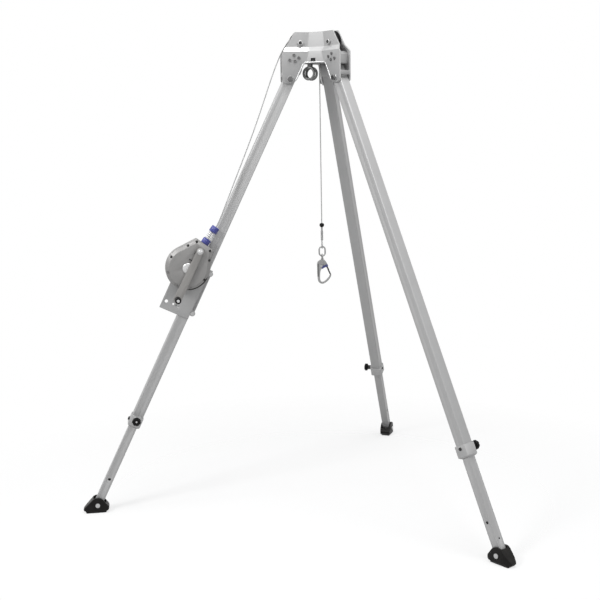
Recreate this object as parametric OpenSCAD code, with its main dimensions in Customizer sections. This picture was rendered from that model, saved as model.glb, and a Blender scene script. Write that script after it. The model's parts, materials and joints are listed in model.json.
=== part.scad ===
// Rescue tripod with a geared rope winch on one leg, telescoping legs and a snap hook on the line.
// Millimetres, +Z up, floor at Z = 0, origin on the floor under the head's axis.

/* [Stance] */
// distance along a leg from its head pivot to its foot bolt
leg_length = 2148; // [1790:1:2580]
// lean of an open leg from the vertical, in degrees
lean = 26; // [22:0.5:30]
// distance of each leg pivot from the head's axis
pivot_radius = 140; // [130:1:168]
// height of the foot bolt above the floor
foot_bolt_height = 38; // [34:1:44]

/* [Tubes] */
// outside width of the upper square tube
outer_tube = 50; // [42:0.5:60]
// wall of the upper square tube
outer_wall = 3; // [2:0.25:3.5]
// gap between the upper and lower tubes on each side, taken up by the glide
tube_play = 3; // [2:0.25:4]
// wall of the lower square tube
inner_wall = 3; // [2:0.25:4]
// distance along a leg from the lock pin to the foot bolt
lower_reach = 443; // [400:1:600]
// distance between the lock holes
hole_pitch = 310; // [200:5:340]

/* [Head] */
// thickness of the bent head plates
plate_t = 6; // [4:0.5:7]
// play between a leg and each side of its slot
leg_play = 1.5; // [0.5:0.25:3]
// width of the entry sheaves
sheave_w = 18; // [14:0.5:20]
// height from the swing of a leg's top up to the sheave rims
block_rise = 49.7; // [42:0.1:60]
// pitch radius of the entry sheaves
sheave_pitch = 45; // [38:0.5:54]
// pitch radius of the sheave that drops the rope on the axis
drop_pitch = 19; // [15:0.5:23]
// gap between the rims of the entry sheave and the drop sheave
sheave_gap = 6; // [2:0.5:12]

/* [Winch] */
// distance of the drum's axis down the leg from the pivot
winch_s = 962; // [700:1:1100]
// distance of the drum's axis outward from the leg's centre line
winch_e = 76; // [70:1:90]
// tilt of the winch's own axis towards the leg, in degrees
winch_tilt = 11; // [0:0.5:14]
// module of the gear pair
gear_m = 2.5; // [2.1:0.05:3]
// room from the gear's teeth to the outside of the housing
housing_gap = 20; // [17:0.5:26]
// length of the crank from its shaft to the grip
crank_reach = 237; // [180:1:260]
// diameter of the rope
rope_d = 5; // [4:0.25:6]

/* [Line end] */
// height of the stopper ball's centre
ball_z = 1306; // [900:1:1700]
// diameter of the stopper ball
ball_d = 22; // [18:0.5:28]

/* [Hidden] */
$fn = 48;
eps = 0.02;
rope_r = rope_d / 2;
pivot_z = foot_bolt_height + leg_length * cos(lean);
foot_r = pivot_radius + leg_length * sin(lean);
az_winch = 180;
az_right = -60;
az_back = 60;
leg_half = outer_tube / 2;
inner_tube = outer_tube - 2 * outer_wall - 2 * tube_play;
in_half = inner_tube / 2;
leg_top = 55;
lock_station = leg_length - lower_reach;
tube_end = lock_station + 30;
collar_end = tube_end + 10;
pin_r = 8;
axle_r = 7;
foot_pin_r = 6;
run = 0.05;
swing_r = norm([leg_half, leg_top]) + 0.9;
slot_low = leg_half + leg_play;
slot_up = sheave_w / 2 + 3.5;
sheave_rise = swing_r + block_rise + sheave_pitch + 3;
sheave_radius = drop_pitch + sqrt(pow(sheave_pitch + drop_pitch + 6 + sheave_gap, 2)
    - pow(sheave_pitch - drop_pitch, 2));
sheave_z = pivot_z + sheave_rise;
drop_z = sheave_z + sheave_pitch - drop_pitch;
joggle = slot_low - slot_up;
wing_out = slot_low + plate_t;
panel_out = 59.1;
panel_in = panel_out - plate_t;
z_cut = pivot_z + swing_r + 10.2;
z_j0 = sheave_z - 37.5;
z_j1 = z_j0 + 20;
z_top = sheave_z + sheave_pitch + 3;
bend_r = (panel_out - wing_out * sin(60)) / cos(60);
bend_y = bend_r * sin(60) - wing_out * cos(60);
block_holes = [[pivot_radius - 18, swing_r + block_rise - 6], [pivot_radius - 40, swing_r + block_rise - 17.5],
    [pivot_radius + 1, swing_r + 22.2], [pivot_radius - 23, swing_r + 17.2]];
plate_n0 = leg_half;
plate_n1 = leg_half + 6;
back_n = plate_n1;
drum_n0 = back_n + 11;
drum_n1 = drum_n0 + 3 * (rope_d + 0.4) + 7.8;
rope_n = (drum_n0 + drum_n1) / 2;
wall_n = drum_n1 + 14;
face_n = wall_n + 12;
gear_teeth = 62;
pinion_teeth = 13;
gear_c = gear_m * (gear_teeth + pinion_teeth) / 2;
flange_r = gear_m * (gear_teeth / 2 + 1);
housing_r = flange_r + housing_gap;
wind_r = 59.5;
drum_axle_r = 12;
crank_r = 10;
nose_h = housing_r + 32;
nose_w = 44;
guide_z0 = nose_h;
guide_z1 = nose_h + 26;
cap_z0 = guide_z1 + 37;
cap_z1 = cap_z0 + 29;
spring_r = 14.5;
spring_wire = 1.5;
spring_turns = 3;
link_z = ball_z - 122;

// the rope's way out of the winch, in the winch's own frame: across, off the leg's face, up
leave_r = wind_r + rope_d + 0.5;
winch_route = [[leave_r * cos(29), rope_n, leave_r * sin(29)], [42, rope_n, 57], [28, rope_n, 82],
    [14, rope_n, nose_h - 29], [3, rope_n, nose_h - 11], [0, rope_n, nose_h + 6], [0, rope_n, guide_z1 + 8],
    [0, rope_n, cap_z0], [0, rope_n, cap_z1]];
// the rope's way up the leg, in the leg's frame: outward, off the leg's face, up from the pivot
climb = (winch_s - cap_z1 - 30) / 708;
leg_route = [[32, rope_n - 2, -708 * climb], [33, rope_n - 4, -670 * climb], [36, rope_n - 8, -610 * climb],
    [40, 41, -530 * climb], [45, 35, -430 * climb], [51, 28, -320 * climb], [59, 21, -215 * climb],
    [68, 15, -120 * climb], [76, 10, -40 * climb], [81, 6, 30], [82, 3, 85]];

// frames: a leg's own frame has X outward, Y off its counter-clockwise face, Z up along the leg
module on_leg(az) rotate([0, 0, az]) translate([pivot_radius, 0, pivot_z]) rotate([0, -lean, 0]) children();
module on_winch() on_leg(az_winch) translate([winch_e, 0, -winch_s]) rotate([0, -winch_tilt, 0]) children();
module on_foot(az) rotate([0, 0, az]) translate([foot_r, 0, foot_bolt_height]) children();

// an outline in X and Z made thick from Y = a to Y = b
module slab(a, b) translate([0, b, 0]) rotate([90, 0, 0]) linear_extrude(b - a) children();
// a round bar along Y
module bar(a, b, r) translate([0, b, 0]) rotate([90, 0, 0]) cylinder(r = r, h = b - a);
module at(x, z) translate([x, 0, z]) children();
module hexbar(a, b, r) translate([0, b, 0]) rotate([90, 0, 0]) cylinder(r = r, h = b - a, $fn = 6);

module round_square(w, r) {
    square([w - 2 * r, w], center = true);
    square([w, w - 2 * r], center = true);
    for (x = [-1, 1], y = [-1, 1]) translate([x * (w / 2 - r), y * (w / 2 - r)]) circle(r);
}

// a tube swept along points, with square ends
function unit(v) = v / norm(v);
function spline(a, b, c, d, t) = 0.5 * (2 * b + (c - a) * t + (2 * a - 5 * b + 4 * c - d) * t * t
    + (3 * b - a - 3 * c + d) * t * t * t);
function smooth(p, k) = let (n = len(p)) concat([for (i = [0:n - 2], j = [0:k - 1])
    spline(p[max(i - 1, 0)], p[i], p[i + 1], p[min(i + 2, n - 1)], j / k)], [p[n - 1]]);
function heading(p, i) = unit(p[min(i + 1, len(p) - 1)] - p[max(i - 1, 0)]);
function ring_of(c, t, ref, r, m) = let (u = unit(cross(t, ref)), v = cross(u, t))
    [for (k = [0:m - 1]) c + r * (u * cos(360 * k / m) + v * sin(360 * k / m))];
module swept(p, r, m, ref) {
    n = len(p);
    pts = [for (i = [0:n - 1]) each ring_of(p[i], heading(p, i), ref, r, m)];
    sides = [for (i = [0:n - 2], k = [0:m - 1])
        [i * m + k, i * m + (k + 1) % m, (i + 1) * m + (k + 1) % m, (i + 1) * m + k]];
    tri = [for (q = sides) each [[q[0], q[1], q[2]], [q[0], q[2], q[3]]]];
    first = [[for (k = [0:m - 1]) m - 1 - k]];
    last = [[for (k = [0:m - 1]) (n - 1) * m + k]];
    polyhedron(points = pts, faces = concat(tri, first, last), convexity = 6);
}

// head plates
function leg_rz(e, t) = [pivot_radius - t * sin(lean) + e * cos(lean), pivot_z + t * cos(lean) + e * sin(lean)];
cut_low = leg_rz(-leg_half - 1, 6);
cut_rise = (z_cut - cut_low[1]) * tan(lean);
wing_outline = concat([[cut_low[0] - cut_rise, z_cut], cut_low],
    [for (a = [205:15:270]) [pivot_radius - 4 + 20 * cos(a), pivot_z + 20 * sin(a)]],
    [for (a = [270:15:360]) [pivot_radius + leg_half - 8 + 18 * cos(a), pivot_z - 2 + 18 * sin(a)]],
    [[pivot_radius + leg_half + 10, sheave_z - 46], [pivot_radius - 26, z_top], [0, z_top], [0, z_cut]]);

module profile(out) polygon([[out - plate_t, pivot_z - 60], [out, pivot_z - 60], [out, z_j0],
    [out - joggle, z_j1], [out - joggle, z_top + 5], [out - joggle - plate_t, z_top + 5],
    [out - joggle - plate_t, z_j1], [out - plate_t, z_j0]]);

module mitre(side) translate([0, 0, pivot_z - 80]) linear_extrude(400)
    polygon([[-20, side * (bend_y + (panel_out + 20) * tan(15))],
        [200, side * (bend_y + (panel_out - 200) * tan(15))], [300, side * 300], [-20, side * 300]]);

module wing(side) difference() {
    intersection() {
        rotate([90, 0, 90]) linear_extrude(200) scale([side, 1]) profile(wing_out);
        slab(-80, 80) polygon(wing_outline);
    }
    at(pivot_radius, pivot_z) bar(-60, 60, pin_r + eps);
    at(sheave_radius, sheave_z) bar(-60, 60, axle_r + eps);
    for (h = block_holes) at(h[0], pivot_z + h[1]) bar(-60, 60, 4 + eps);
}

module head_plate(bis) color([0.66, 0.67, 0.68]) rotate([0, 0, bis]) {
    intersection() { rotate([0, 0, -60]) wing(1); mitre(-1); }
    intersection() { rotate([0, 0, 60]) wing(-1); mitre(1); }
    difference() {
        intersection() {
            slab(-70, 70) profile(panel_out);
            translate([0, 0, z_cut]) linear_extrude(z_top - z_cut) translate([20, -100]) square([60, 200]);
        }
        mitre(-1);
        mitre(1);
    }
}
module head_plate_front() head_plate(240);
module head_plate_right() head_plate(0);
module head_plate_rear() head_plate(120);

module every_leg() for (az = [az_winch, az_right, az_back]) rotate([0, 0, az]) children();

lip_a = leg_rz(-leg_half - 0.3, 36);
lip_b = leg_rz(-leg_half - 8, 36);
lip_c = leg_rz(-leg_half - 8, 57);
module leg_stop_blocks() color([0.5, 0.51, 0.52]) every_leg() difference() {
    slab(-slot_low, slot_low) polygon([lip_a, lip_b, lip_c, [pivot_radius - 56, z_cut - 3.5],
        [pivot_radius - 56, sheave_z - 65], [pivot_radius - 48, sheave_z - 55],
        [pivot_radius - 32, sheave_z - 48], [pivot_radius - 15, sheave_z - 44],
        [pivot_radius + 10, sheave_z - 44], [pivot_radius + 23, sheave_z - 57],
        [pivot_radius + 23, pivot_z + swing_r + 2.7], [pivot_radius, pivot_z + 34]]);
    intersection() {
        at(pivot_radius, pivot_z) bar(-60, 60, swing_r);
        translate([pivot_radius, 0, pivot_z]) rotate([0, -lean, 0])
            translate([-leg_half - 0.3, -60, -100]) cube([200, 120, 200]);
    }
    at(sheave_radius, sheave_z) bar(-60, 60, sheave_pitch + 5);
    for (h = block_holes) at(h[0], pivot_z + h[1]) bar(-60, 60, 4 + eps);
}

module block_bolts() color([0.45, 0.45, 0.46]) every_leg() for (h = block_holes) at(h[0], pivot_z + h[1]) {
    bar(-wing_out - 3, wing_out + 3, 4);
    for (s = [-1, 1]) difference() {
        bar(s > 0 ? wing_out : -wing_out - 4, s > 0 ? wing_out + 4 : -wing_out, 6.5);
        hexbar(s > 0 ? wing_out + 2 : -wing_out - 5, s > 0 ? wing_out + 5 : -wing_out - 2, 2.9);
    }
}

module tie_bars() color([0.6, 0.61, 0.62]) every_leg()
    translate([pivot_radius + leg_half + 2, -slot_low, pivot_z + 12]) cube([8, 2 * slot_low, 18]);

module leg_pivot_bolts() color([0.72, 0.72, 0.73]) every_leg() at(pivot_radius, pivot_z) {
    bar(-wing_out - 14, wing_out + 4, pin_r);
    for (s = [-1, 1]) bar(s > 0 ? wing_out : -wing_out - 3, s > 0 ? wing_out + 3 : -wing_out, 15);
    hexbar(wing_out + 3, wing_out + 12, 13.8);
    hexbar(-wing_out - 12, -wing_out - 3, 13.8);
}

module sheave_axle_bolts() color([0.72, 0.72, 0.73]) every_leg() at(sheave_radius, sheave_z) {
    bar(-slot_up - plate_t - 11, slot_up + plate_t + 2, axle_r);
    hexbar(slot_up + plate_t, slot_up + plate_t + 8, 12.5);
    hexbar(-slot_up - plate_t - 9, -slot_up - plate_t, 12.5);
}

module cheek() difference() {
    union() {
        circle(15);
        translate([drop_pitch - sheave_radius, drop_z - sheave_z]) circle(11);
        let (a = atan2(drop_z - sheave_z, drop_pitch - sheave_radius)) rotate(a)
            polygon([[0, -13.5], [0, 13.5], [norm([drop_z - sheave_z, drop_pitch - sheave_radius]), 9.5],
                [norm([drop_z - sheave_z, drop_pitch - sheave_radius]), -9.5]]);
    }
    circle(axle_r + eps);
    translate([drop_pitch - sheave_radius, drop_z - sheave_z]) circle(6 + eps);
}
module sheave_cheeks() color([0.55, 0.56, 0.57]) {
    rotate([0, 0, az_winch]) at(sheave_radius, sheave_z) for (s = [-1, 1])
        slab(s > 0 ? slot_up - 3 : -slot_up, s > 0 ? slot_up : 3 - slot_up) cheek();
    for (az = [az_right, az_back]) rotate([0, 0, az]) at(sheave_radius, sheave_z) for (s = [-1, 1])
        difference() {
            bar(s > 0 ? slot_up - 3 : -slot_up, s > 0 ? slot_up : 3 - slot_up, 14);
            bar(-20, 20, axle_r + eps);
        }
}
module drop_sheave_axle() color([0.72, 0.72, 0.73]) rotate([0, 0, az_winch]) at(drop_pitch, drop_z) {
    bar(-slot_up - 2, slot_up + 2, 6);
    for (s = [-1, 1]) bar(s > 0 ? slot_up : -slot_up - 2, s > 0 ? slot_up + 2 : -slot_up, 8);
}

module sheave(pitch, bore, half) difference() {
    bar(-half, half, pitch + 3);
    bar(-half - 1, half + 1, bore);
    rotate([90, 0, 0]) rotate_extrude() translate([pitch, 0]) circle(rope_r + 0.3);
    rotate([90, 0, 0]) rotate_extrude() polygon([[pitch, -rope_r - 0.3], [pitch + 4, -rope_r - 2.2],
        [pitch + 4, rope_r + 2.2], [pitch, rope_r + 0.3]]);
    if (pitch > 30) for (s = [-1, 1]) difference() {
        bar(s > 0 ? half - 4 : -half - 1, s > 0 ? half + 1 : 4 - half, pitch - 9);
        bar(-half - 2, half + 2, 14);
    }
}
module sheave_at(az) color([0.16, 0.16, 0.17]) rotate([0, 0, az]) at(sheave_radius, sheave_z)
    sheave(sheave_pitch, axle_r + run, sheave_w / 2);
module sheave_winch() sheave_at(az_winch);
module sheave_right() sheave_at(az_right);
module sheave_back() sheave_at(az_back);
module drop_sheave() color([0.16, 0.16, 0.17]) rotate([0, 0, az_winch]) at(drop_pitch, drop_z)
    sheave(drop_pitch, 6 + run, sheave_w / 2 - 1);

// anchor plate and eyes under it
eye_turn = 234;
plate_r = pivot_radius - 62;
eye_1 = [1.1 - panel_in, -16];
eye_2 = eye_1 - 28 * [cos(eye_turn), sin(eye_turn)];
anchor_z = z_cut + 4;
eye_z = anchor_z - 50;
module anchor_plate() color([0.55, 0.56, 0.57]) difference() {
    translate([0, 0, anchor_z]) intersection() {
        linear_extrude(8) polygon([for (a = [60, 180, 300]) 2 * panel_in * [cos(a), sin(a)]]);
        cylinder(r = plate_r, h = 8);
    }
    translate([0, 0, anchor_z - 1]) cylinder(r = 9, h = 10);
    for (p = [eye_1, eye_2]) translate([p[0], p[1], anchor_z - 1]) cylinder(r = 6 + eps, h = 10);
}
module anchor_eyes() color([0.62, 0.62, 0.63]) for (p = [eye_1, eye_2]) translate([p[0], p[1], 0])
    rotate([0, 0, eye_turn]) {
        translate([0, 0, eye_z]) rotate([0, 90, 0]) rotate_extrude()
            polygon([[21, -3], [23, -5.5], [29, -5.5], [31, -3], [31, 3], [29, 5.5], [23, 5.5], [21, 3]]);
        translate([0, 0, eye_z + 28]) cylinder(r = 6, h = anchor_z + 17 - eye_z - 28);
        translate([0, 0, anchor_z - 8]) cylinder(r = 11, h = 8);
        translate([0, 0, anchor_z + 8]) cylinder(r = 11, h = 8, $fn = 6);
    }

// legs
module outer_tube(az) color([0.68, 0.69, 0.7]) on_leg(az) difference() {
    translate([0, 0, -tube_end]) linear_extrude(tube_end + leg_top) round_square(outer_tube, 4);
    translate([0, 0, -tube_end - 1]) linear_extrude(tube_end + leg_top + 2)
        square(outer_tube - 2 * outer_wall, center = true);
    bar(-40, 40, pin_r + run);
    at(0, -lock_station) bar(0, 40, foot_pin_r + run);
    at(0, -lock_station) bar(-40, 0, 4 + eps);
}
module outer_tube_winch() outer_tube(az_winch);
module outer_tube_right() outer_tube(az_right);
module outer_tube_back() outer_tube(az_back);

collar_half = leg_half + 4;
module collar_side() polygon([[-collar_half, -lock_station + 15], [collar_half, -lock_station + 15],
    [collar_half, -collar_end + 7], [collar_half - 7, -collar_end], [7 - collar_half, -collar_end],
    [-collar_half, -collar_end + 7]]);
module leg_fittings(az) color([0.62, 0.63, 0.64]) on_leg(az) {
    difference() {
        translate([0, 0, -40]) linear_extrude(40 + leg_top)
            square(outer_tube - 2 * outer_wall - 2 * eps, center = true);
        bar(-40, 40, pin_r + run);
    }
    difference() {
        union() {
            intersection() {
                slab(-collar_half, collar_half) collar_side();
                rotate([0, 0, 90]) slab(-collar_half, collar_half) collar_side();
            }
            at(0, -lock_station) bar(0, collar_half + 6, 15);
            at(0, -lock_station) hexbar(0, collar_half + 20, 12);
        }
        translate([0, 0, -tube_end]) linear_extrude(200) square(outer_tube + 2 * eps, center = true);
        translate([0, 0, -collar_end - 1]) linear_extrude(200) square(inner_tube + 0.7, center = true);
        at(0, -lock_station) bar(0, 80, foot_pin_r + run);
        at(0, -lock_station) bar(-80, 0, 4 + eps);
    }
    at(0, -lock_station) {
        bar(-collar_half - 2, -leg_half + outer_wall - 0.4, 4);
        bar(-collar_half - 5, -collar_half, 7);
    }
}
module leg_fittings_winch() leg_fittings(az_winch);
module leg_fittings_right() leg_fittings(az_right);
module leg_fittings_back() leg_fittings(az_back);

glide_top = lock_station - 605;
module inner_tube(az) color([0.7, 0.71, 0.72]) on_leg(az) {
    difference() {
        translate([0, 0, -leg_length - 12]) linear_extrude(leg_length + 12 - glide_top)
            round_square(inner_tube, 2.5);
        translate([0, 0, -leg_length - 20]) linear_extrude(leg_length)
            square(inner_tube - 2 * inner_wall, center = true);
        for (k = [-1:1]) at(0, -lock_station - k * hole_pitch) bar(-40, 40, 6.6);
        at(0, -leg_length) bar(-40, 40, foot_pin_r + run);
        translate([0, 0, -leg_length + 62]) rotate([0, 90, 0]) cylinder(r = 4, h = 40);
    }
    translate([0, 0, -glide_top - 50]) linear_extrude(50) difference() {
        square(outer_tube - 2 * outer_wall - 0.7, center = true);
        square(inner_tube + 2 * eps, center = true);
    }
    translate([0, 0, -glide_top]) linear_extrude(3) square(outer_tube - 2 * outer_wall - 0.7, center = true);
}
module inner_tube_winch() inner_tube(az_winch);
module inner_tube_right() inner_tube(az_right);
module inner_tube_back() inner_tube(az_back);

knob_n = collar_half + 21;
module lock_knob(az) color([0.08, 0.08, 0.09]) on_leg(az) at(0, -lock_station) {
    bar(in_half + 0.4, knob_n + 2, foot_pin_r);
    translate([0, knob_n, 0]) rotate([-90, 0, 0]) rotate_extrude()
        polygon([[0, 0], [11, 0], [12, 4], [18, 6], [20, 9], [20, 17], [18, 20], [7.5, 20], [7.5, 18.5],
            [0, 18.5]]);
}
module lock_knob_winch() lock_knob(az_winch);
module lock_knob_right() lock_knob(az_right);
module lock_knob_back() lock_knob(az_back);

// the shoe's side outline, about its bolt, on a floor foot_bolt_height below
fb = foot_bolt_height;
sh = in_half + 10;
lean_in = lean - 20;
lean_out = lean + 20;
foot_room = in_half + 1.7;
module foot(az) color([0.07, 0.07, 0.08]) on_foot(az) difference() {
    intersection() {
        union() {
            slab(-sh - 1, sh + 1) polygon([[-43, 9 - fb], [-49, 14 - fb], [-52, 21 - fb], [-51.5, 27 - fb],
                [-48, 33 - fb], [-42, 40 - fb], [-33, 52 - fb], [-26, 62 - fb], [-18, 68 - fb], [-6, 72 - fb],
                [8, 73 - fb], [18, 69 - fb], [26, 61.5 - fb], [40, 47 - fb], [56, 31 - fb], [63, 24 - fb],
                [66.5, 18 - fb], [66, 12 - fb], [62, 9 - fb]]);
            slab(6 - sh, sh - 6) polygon([[-42, 10 - fb], [-36, -fb], [54, -fb], [58, 10 - fb]]);
        }
        translate([0, 0, -fb - 1]) linear_extrude(120) polygon([[-56, 9 - sh], [-48, 2 - sh], [-38, -sh],
            [24, -sh], [50, 6 - sh], [71, 18 - sh], [71, sh - 18], [50, sh - 6], [24, sh], [-38, sh],
            [-48, sh - 2], [-56, sh - 9]]);
    }
    bar(-in_half - 0.6, in_half + 0.6, norm([12, in_half]) + 2);
    slab(-in_half - 0.6, in_half + 0.6) polygon([[0, -10], foot_room * [cos(lean_in), sin(lean_in)],
        foot_room * [cos(lean_in), sin(lean_in)] + 60 * [-sin(lean_in), cos(lean_in)], [-80, 60],
        -foot_room * [cos(lean_out), sin(lean_out)] + 92 * [-sin(lean_out), cos(lean_out)],
        -foot_room * [cos(lean_out), sin(lean_out)]]);
    bar(-60, 60, foot_pin_r + eps);
}
module foot_winch() foot(az_winch);
module foot_right() foot(az_right);
module foot_back() foot(az_back);

module foot_bolt(az) color([0.75, 0.75, 0.76]) on_foot(az) {
    bar(-sh - 2, sh + 2, foot_pin_r);
    for (s = [-1, 1]) bar(s > 0 ? sh : -sh - 5, s > 0 ? sh + 5 : -sh, 10.5);
}
module foot_bolt_winch() foot_bolt(az_winch);
module foot_bolt_right() foot_bolt(az_right);
module foot_bolt_back() foot_bolt(az_back);

// winch bracket round the leg
plate_s0 = winch_s - 37;
plate_s1 = winch_s + 219;
plate_e = winch_e + 41;
pin_e = leg_half + 11;
ear_e = min(-leg_half - 8, winch_e - housing_r - 9);
ear_s = [plate_s0 + 25, plate_s1 - 32];
module on_face(s, e) translate([e, 0, -s]) children();
module winch_bracket() color([0.6, 0.61, 0.62]) on_leg(az_winch) {
    difference() {
        union() {
            slab(plate_n0, plate_n1) polygon([[-leg_half, -plate_s0], [plate_e, -plate_s0],
                [plate_e, -plate_s1], [-leg_half, -plate_s1]]);
            for (s = ear_s) on_face(s, ear_e) bar(plate_n0, plate_n1, 13);
            for (s = ear_s) slab(plate_n0, plate_n1) polygon([[ear_e, -s - 13], [-leg_half + 1, -s - 13],
                [-leg_half + 1, -s + 13], [ear_e, -s + 13]]);
        }
        for (s = ear_s) { on_face(s, ear_e) bar(0, 60, 6 + eps); on_face(s, pin_e) bar(0, 60, 6 + eps); }
        on_face(winch_s + 181, plate_e - 18) bar(0, 60, 7.5);
        on_face(winch_s + 181, plate_e - 52) bar(0, 60, 4.5);
        on_face(winch_s + 181, plate_e - 67) bar(0, 60, 4.5);
        on_face(winch_s + 131, plate_e - 74) bar(0, 60, 5);
    }
    difference() {
        union() {
            slab(-plate_n1, -plate_n0) polygon([[ear_e - 13, -ear_s[0] + 13], [pin_e + 13, -ear_s[0] + 13],
                [pin_e + 13, -ear_s[0] - 16], [leg_half + 2, -ear_s[0] - 16], [leg_half + 2, -ear_s[1] + 16],
                [pin_e + 13, -ear_s[1] + 16], [pin_e + 13, -ear_s[1] - 13], [ear_e - 13, -ear_s[1] - 13]]);
        }
        for (s = ear_s) { on_face(s, ear_e) bar(-60, 0, 6 + eps); on_face(s, pin_e) bar(-60, 0, 6 + eps); }
    }
}
module bracket_pins() color([0.72, 0.72, 0.73]) on_leg(az_winch) for (s = ear_s) {
    on_face(s, ear_e) { bar(-plate_n1 - 5, plate_n1 + 3, 6); bar(plate_n1, plate_n1 + 4.5, 8.5); }
    on_face(s, pin_e) bar(-plate_n1 - 5, plate_n1, 6);
    for (e = [ear_e, pin_e]) on_face(s, e) hexbar(-plate_n1 - 6, -plate_n1, 10);
}

// housing outline drawn in by d
module teardrop(d) {
    r = housing_r - d;
    w = nose_w - d;
    h = nose_h - d;
    a = atan2(h, w) - acos(r / norm([w, h]));
    circle(r);
    polygon([[r * cos(a), r * sin(a)], [w, h], [-w, h], [-r * cos(a), r * sin(a)], [0, 0]]);
}
module housing_back() color([0.5, 0.51, 0.52]) on_winch() difference() {
    slab(back_n, wall_n) teardrop(0);
    slab(back_n + 6, wall_n + 1) teardrop(5);
    bar(back_n - 1, wall_n, drum_axle_r + eps);
    at(0, gear_c) bar(back_n + 2, wall_n, crank_r + run);
    translate([0, rope_n, nose_h - 10]) cylinder(r = 8, h = 20);
}
bevel = 16;
module bevel_cut(p, ang) translate([p[0], wall_n, p[1]]) rotate([0, -ang, 0])
    rotate([0, 0, atan2(bevel, face_n - wall_n)]) translate([0, -200, -200]) cube([200, 400, 400]);
screw_r = housing_r - 9;
screw_at = [[nose_w + 15, nose_h - 47], [-nose_w - 15, nose_h - 47], [nose_w - 8, nose_h - 11],
    [8 - nose_w, nose_h - 11], [screw_r, 0], [-screw_r, 0], screw_r * [cos(47), -sin(47)],
    screw_r * [-cos(47), -sin(47)], [0, -screw_r]];
side_a = atan2(nose_h, nose_w) - acos(housing_r / norm([nose_w, nose_h])) + 8;
side_n = atan2(housing_r * cos(side_a) - nose_w, nose_h - housing_r * sin(side_a));
side_p = housing_r * cos(side_a - side_n) * [cos(side_n), sin(side_n)];
module housing_cover() color([0.56, 0.57, 0.58]) on_winch() difference() {
    union() {
        translate([0, wall_n, 0]) rotate([-90, 0, 0])
            cylinder(r1 = housing_r, r2 = housing_r - bevel, h = face_n - wall_n);
        difference() {
            slab(wall_n, face_n) polygon([side_p, [nose_w, nose_h], [-nose_w, nose_h], [-side_p[0], side_p[1]],
                [0, 0]]);
            bevel_cut([nose_w, nose_h], 90);
            bevel_cut([nose_w, nose_h], side_n);
            bevel_cut([-nose_w, nose_h], 180 - side_n);
        }
    }
    bar(wall_n - 1, face_n - 5, housing_r - 26);
    at(0, gear_c) bar(wall_n - 1, face_n + 1, crank_r + run);
    bar(wall_n - 1, face_n + 1, drum_axle_r + eps);
    for (p = screw_at) at(p[0], p[1]) { bar(wall_n + 3, face_n + 9, 6); bar(wall_n - 1, face_n, 2.5 + eps); }
}
module housing_screws() color([0.2, 0.2, 0.21]) on_winch() for (p = screw_at) at(p[0], p[1]) {
    bar(wall_n, wall_n + 4, 2.5);
    difference() { bar(wall_n + 3, wall_n + 8, 4.8); hexbar(wall_n + 5, wall_n + 9, 2.6); }
}
module centre_cap() color([0.8, 0.8, 0.81]) on_winch() {
    bar(back_n, face_n + 1, drum_axle_r);
    translate([0, face_n, 0]) rotate([-90, 0, 0]) rotate_extrude()
        polygon([[0, 0], [24, 0], [24, 2], [20, 5], [4, 5.6], [0, 5.6]]);
}

module blue_ring(z0, z1, bore) translate([0, rope_n, 0]) rotate_extrude() polygon([[bore, z0], [17, z0],
    [19, z0 + 2], [19, z1 - 2], [17, z1], [bore, z1]]);
module outlet_guide() color([0.2, 0.22, 0.55]) on_winch() {
    blue_ring(guide_z0, guide_z1, rope_r + 2.5);
    translate([0, rope_n, guide_z0 - 6]) rotate_extrude() polygon([[rope_r + 2.5, 0], [8 - eps, 0],
        [8 - eps, 6], [rope_r + 2.5, 6]]);
}
module buffer_cap() color([0.2, 0.22, 0.55]) on_winch() blue_ring(cap_z0, cap_z1, rope_r + 1.5);

// buffer spring between the two blue rings, with flat closed end turns kept apart from each other
coil_h = cap_z0 - guide_z1 - 2 * spring_wire - 0.2;
coil_n = spring_turns * 8;
coil_pts = [for (i = [0:coil_n]) [spring_r * cos(45 * i), rope_n + spring_r * sin(45 * i),
    guide_z1 + spring_wire + 0.1 + coil_h * i / coil_n]];
echo(least_spring_gap = coil_h / spring_turns * cos(atan(coil_h / spring_turns / (2 * PI * spring_r)))
    - 2 * spring_wire);
module buffer_spring() color([0.75, 0.75, 0.76]) on_winch() swept(coil_pts, spring_wire, 6, [0, 0, 1]);

// drum, gear pair and crank
function involute(rb, r) = let (a = acos(rb / r)) (tan(a) * 180 / PI - a);
module spur(teeth, play) {
    rp = gear_m * teeth / 2;
    ra = rp + gear_m * 0.96;
    rr = rp - gear_m * 1.25;
    rb = rp * cos(20);
    half = (90 - play * 90 / (PI * rp)) / teeth;
    at_p = involute(rb, rp);
    flank = [for (r = [max(rb, rr + 0.01), (max(rb, rr) + rp) / 2, rp, (rp + ra) / 2, ra])
        [r, half + at_p - involute(rb, r)]];
    polygon([for (i = [0:teeth - 1]) let (c = i * 360 / teeth) each concat(
        [rr * [cos(c - flank[0][1]), sin(c - flank[0][1])]],
        [for (f = flank) f[0] * [cos(c - f[1]), sin(c - f[1])]],
        [for (k = [4:-1:0]) flank[k][0] * [cos(c + flank[k][1]), sin(c + flank[k][1])]],
        [rr * [cos(c + flank[0][1]), sin(c + flank[0][1])]])]);
}
module rope_drum() color([0.55, 0.56, 0.57]) on_winch() difference() {
    union() {
        bar(drum_n0, drum_n1, 40);
        bar(drum_n0, drum_n0 + 3, flange_r);
        bar(drum_n1 - 3, drum_n1, flange_r);
    }
    bar(0, 100, drum_axle_r + run);
}
module drum_gear() color([0.45, 0.45, 0.46]) on_winch() difference() {
    slab(drum_n1, drum_n1 + 11) spur(gear_teeth, 0.5);
    bar(0, 100, drum_axle_r + run);
    for (a = [0:60:300]) rotate([0, a, 0]) at(flange_r - 34, 0) bar(0, 100, 15);
}
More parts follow.
